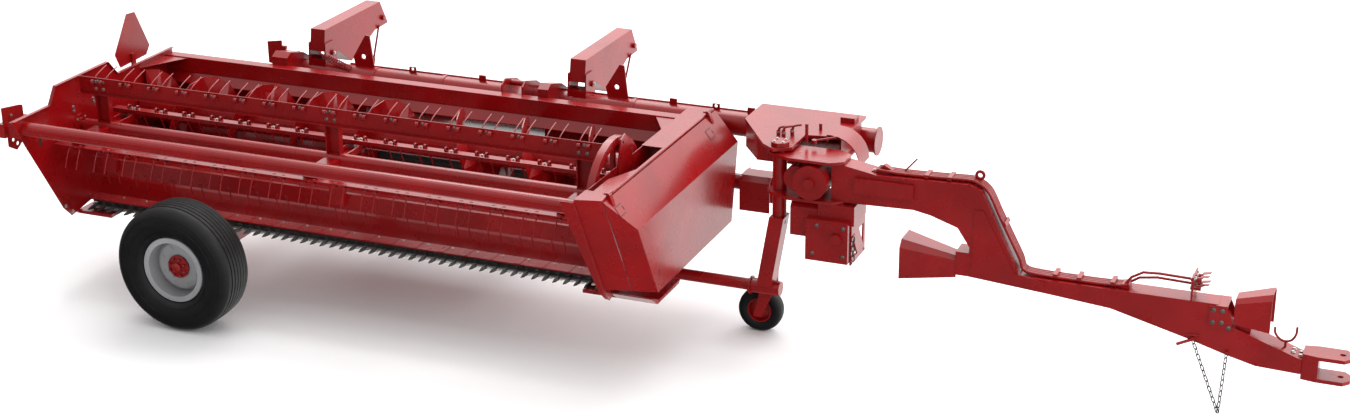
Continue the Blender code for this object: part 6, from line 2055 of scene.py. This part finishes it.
def header_backing():
    # The carrier tube's clamps and hydraulic lines behind the header.
    made = []
    inner, outer = BAND_RADII
    band = [(inner, BAND_HALF), (outer, BAND_HALF), (outer, -BAND_HALF), (inner, -BAND_HALF)]
    for share in BAND_SHARES:
        x = TUBE_LEFT_X + (TUBE_RIGHT_X - TUBE_LEFT_X) * share
        made.append(turned("tube_lines", band, (x, TUBE_Y, TUBE_Z), "X", 32))
    for share in LINE_QUARTERS:
        angle = share * pi / 2
        y = TUBE_Y + (TUBE_RADIUS + LINE_STANDOFF) * sin(angle)
        z = TUBE_Z + (TUBE_RADIUS + LINE_STANDOFF) * cos(angle)
        made.append(rod("line", *((x, y, z) for x in LINE_ENDS_X), LINE_RADIUS, sides=10))
    return fuse(*made)


# Placing

def plain_name(obj):
    # Blender numbers a name that a CAD node has already.
    return obj.name.split(".")[0]


def dress_nodes():
    # Every node of the model gets the finish of its slot in the record.
    slots = {row["node"]: row["material_slot"] for row in frame["record"]["subparts"]}
    for name, obj in frame["nodes"].items():
        finish = SLOT_MATERIALS[slots[name]]
        for slot in obj.material_slots:
            slot.material = finish


def dress_header():
    for made in (header_left_panel(), header_right_panel(), rear_beam(), drive_shield(),
                 conditioner_housing(), light_bracket(), main_tube(), pivot_frame(), pivot_post(),
                 wheel_stand(), *skid_shoes(), *header_brackets(), *lift_arms(), *arm_stands()):
        dress(made, "frame", (plain_name(made),))
    dress(detailed_cutter_bar(), "frame", ("cutter_bar",), edge=FINE_EDGE)
    for made in (header_gearbox(), panel_fittings(), floor_seams(), lift_fittings(), small_sign(),
                 header_backing(), pivot_fittings()):
        dress(made, "frame", edge=FINE_EDGE)
    dress(shield_fittings(), "shield_cover", edge=0)


def dress_reel():
    core = reel_core()
    dress(core, "reel", (plain_name(core),))
    for bat in reel_bats():
        dress(bat, "reel", (plain_name(bat),), edge=FINE_EDGE)


def dress_wheels():
    rows = (
        # body, tyre, rim, y, way its face looks
        ("front_wheel", "front_tyre", "front_rim", FRONT_WHEEL_Y, -1),
        ("rear_wheel", "rear_tyre", "rear_rim", REAR_WHEEL_Y, 1),
    )
    for body, tyre_name, rim_name, y, side in rows:
        dress(ribbed_tyre(tyre_name, y), body, (tyre_name,), edge=0)
        dress(detailed_rim(rim_name, y, side), body, (rim_name,), edge=FINE_EDGE)
    dress(detailed_small_wheel(), "small_wheel", ("small_wheel",), edge=0)


def dress_tongue():
    for made in (tongue_beam(), hitch_clevis(), pivot_gearbox(), lower_gearbox()):
        dress(made, "tongue", (plain_name(made),), edge=BROAD_EDGE)
    rear, front = hoods()
    dress(rear, "tongue", ("driveline_hood_rear",))
    dress(front, "tongue")
    for made in [tongue_pipes(), couplers(), tongue_lines(), tongue_top_fittings()] + tongue_fittings():
        dress(made, "tongue", edge=FINE_EDGE)
    for made in (safety_chain(), short_chain()):
        dress(made, "tongue", edge=0)


# Studio

def camera():
    level = cos(CAMERA_PITCH)
    look = Vector((sin(CAMERA_YAW) * level, cos(CAMERA_YAW) * level, -sin(CAMERA_PITCH)))
    right = look.cross(Vector((0, 0, 1))).normalized()
    up = right.cross(look)
    flat, tilt = cos(CAMERA_ROLL), sin(CAMERA_ROLL)
    turn = Matrix((right * flat + up * tilt, up * flat - right * tilt, -look)).transposed()
    data = bpy.data.cameras.new("camera")
    data.sensor_width = SENSOR_WIDTH
    data.lens = FOCAL_PIXELS / IMAGE_WIDTH * SENSOR_WIDTH
    obj = bpy.data.objects.new("camera", data)
    obj.matrix_world = Matrix.Translation(CAMERA_PLACE) @ turn.to_4x4()
    bpy.context.scene.collection.objects.link(obj)
    bpy.context.scene.camera = obj


LIGHT_ROWS = (
    # name, place, target, size, power
    ("top_light", (-1.0, 5.5, 9.0), (0, 0, 0.5), (12, 8), 900),
    ("right_light", (10.0, -2.0, 5.0), (1, 0, 0.6), (5, 4), 260),
)


def area_light(name, place, target, size, power):
    data = bpy.data.lights.new(name, "AREA")
    data.shape = "RECTANGLE"
    data.size, data.size_y = size
    data.energy = power
    obj = bpy.data.objects.new(name, data)
    obj.location = place
    obj.rotation_euler = (Vector(target) - Vector(place)).to_track_quat("-Z", "Y").to_euler()
    bpy.context.scene.collection.objects.link(obj)


FLOOR_SIZE = 160
FLOOR_NOISE = (0.6, 3.0)
FLOOR_TINTS = ((0.3, (0.93,) * 3), (0.7, (0.95,) * 3))
FLOOR_ROUGHNESS = 0.95


def floor():
    made, tree, shader = shader_of("floor_pale")
    tree.links.new(ramp(tree, noise(tree, *FLOOR_NOISE), FLOOR_TINTS), shader.inputs["Base Color"])
    fill(shader, Roughness=FLOOR_ROUGHNESS, Specular_IOR_Level=0.0)
    bpy.ops.mesh.primitive_plane_add(size=FLOOR_SIZE, location=(0, 0, 0))
    ground = bpy.context.object
    ground.name = "floor"
    ground.data.materials.append(made)
    ground.visible_glossy = False


SKY_BASE = 0.05
SKY_SHARES = (
    # light from above, from behind the machine (+y) and from its hitch end (+x)
    ("Z", 1.15), ("Y", 1.45), ("X", 0.65),
)


def sky(tree, background):
    # A soft studio sky, brightest above and behind the machine, dim where the camera stands.
    where = tree.nodes.new("ShaderNodeTexCoord")
    parts = tree.nodes.new("ShaderNodeSeparateXYZ")
    tree.links.new(where.outputs["Generated"], parts.inputs["Vector"])
    total = None
    for axis, share in SKY_SHARES:
        lifted = tree.nodes.new("ShaderNodeMath")
        lifted.operation = "MAXIMUM"
        lifted.inputs[1].default_value = 0.0
        tree.links.new(parts.outputs[axis], lifted.inputs[0])
        scaled = tree.nodes.new("ShaderNodeMath")
        scaled.operation = "MULTIPLY_ADD"
        scaled.inputs[1].default_value = share
        scaled.inputs[2].default_value = SKY_BASE
        tree.links.new(lifted.outputs[0], scaled.inputs[0])
        if total:
            scaled.inputs[2].default_value = 0.0
            tree.links.new(total, scaled.inputs[2])
        total = scaled.outputs[0]
    tree.links.new(total, background.inputs["Strength"])


def studio():
    world = bpy.data.worlds.new("studio")
    world.use_nodes = True
    tree = world.node_tree
    background = tree.nodes["Background"]
    background.inputs["Color"].default_value = (1, 1, 1, 1)
    sky(tree, background)
    bpy.context.scene.world = world
    for row in LIGHT_ROWS:
        area_light(*row)
    floor()
    camera()


bpy.context.scene.view_settings.view_transform = "Standard"
dress_nodes()
dress_header()
dress_reel()
dress_wheels()
dress_tongue()
studio()
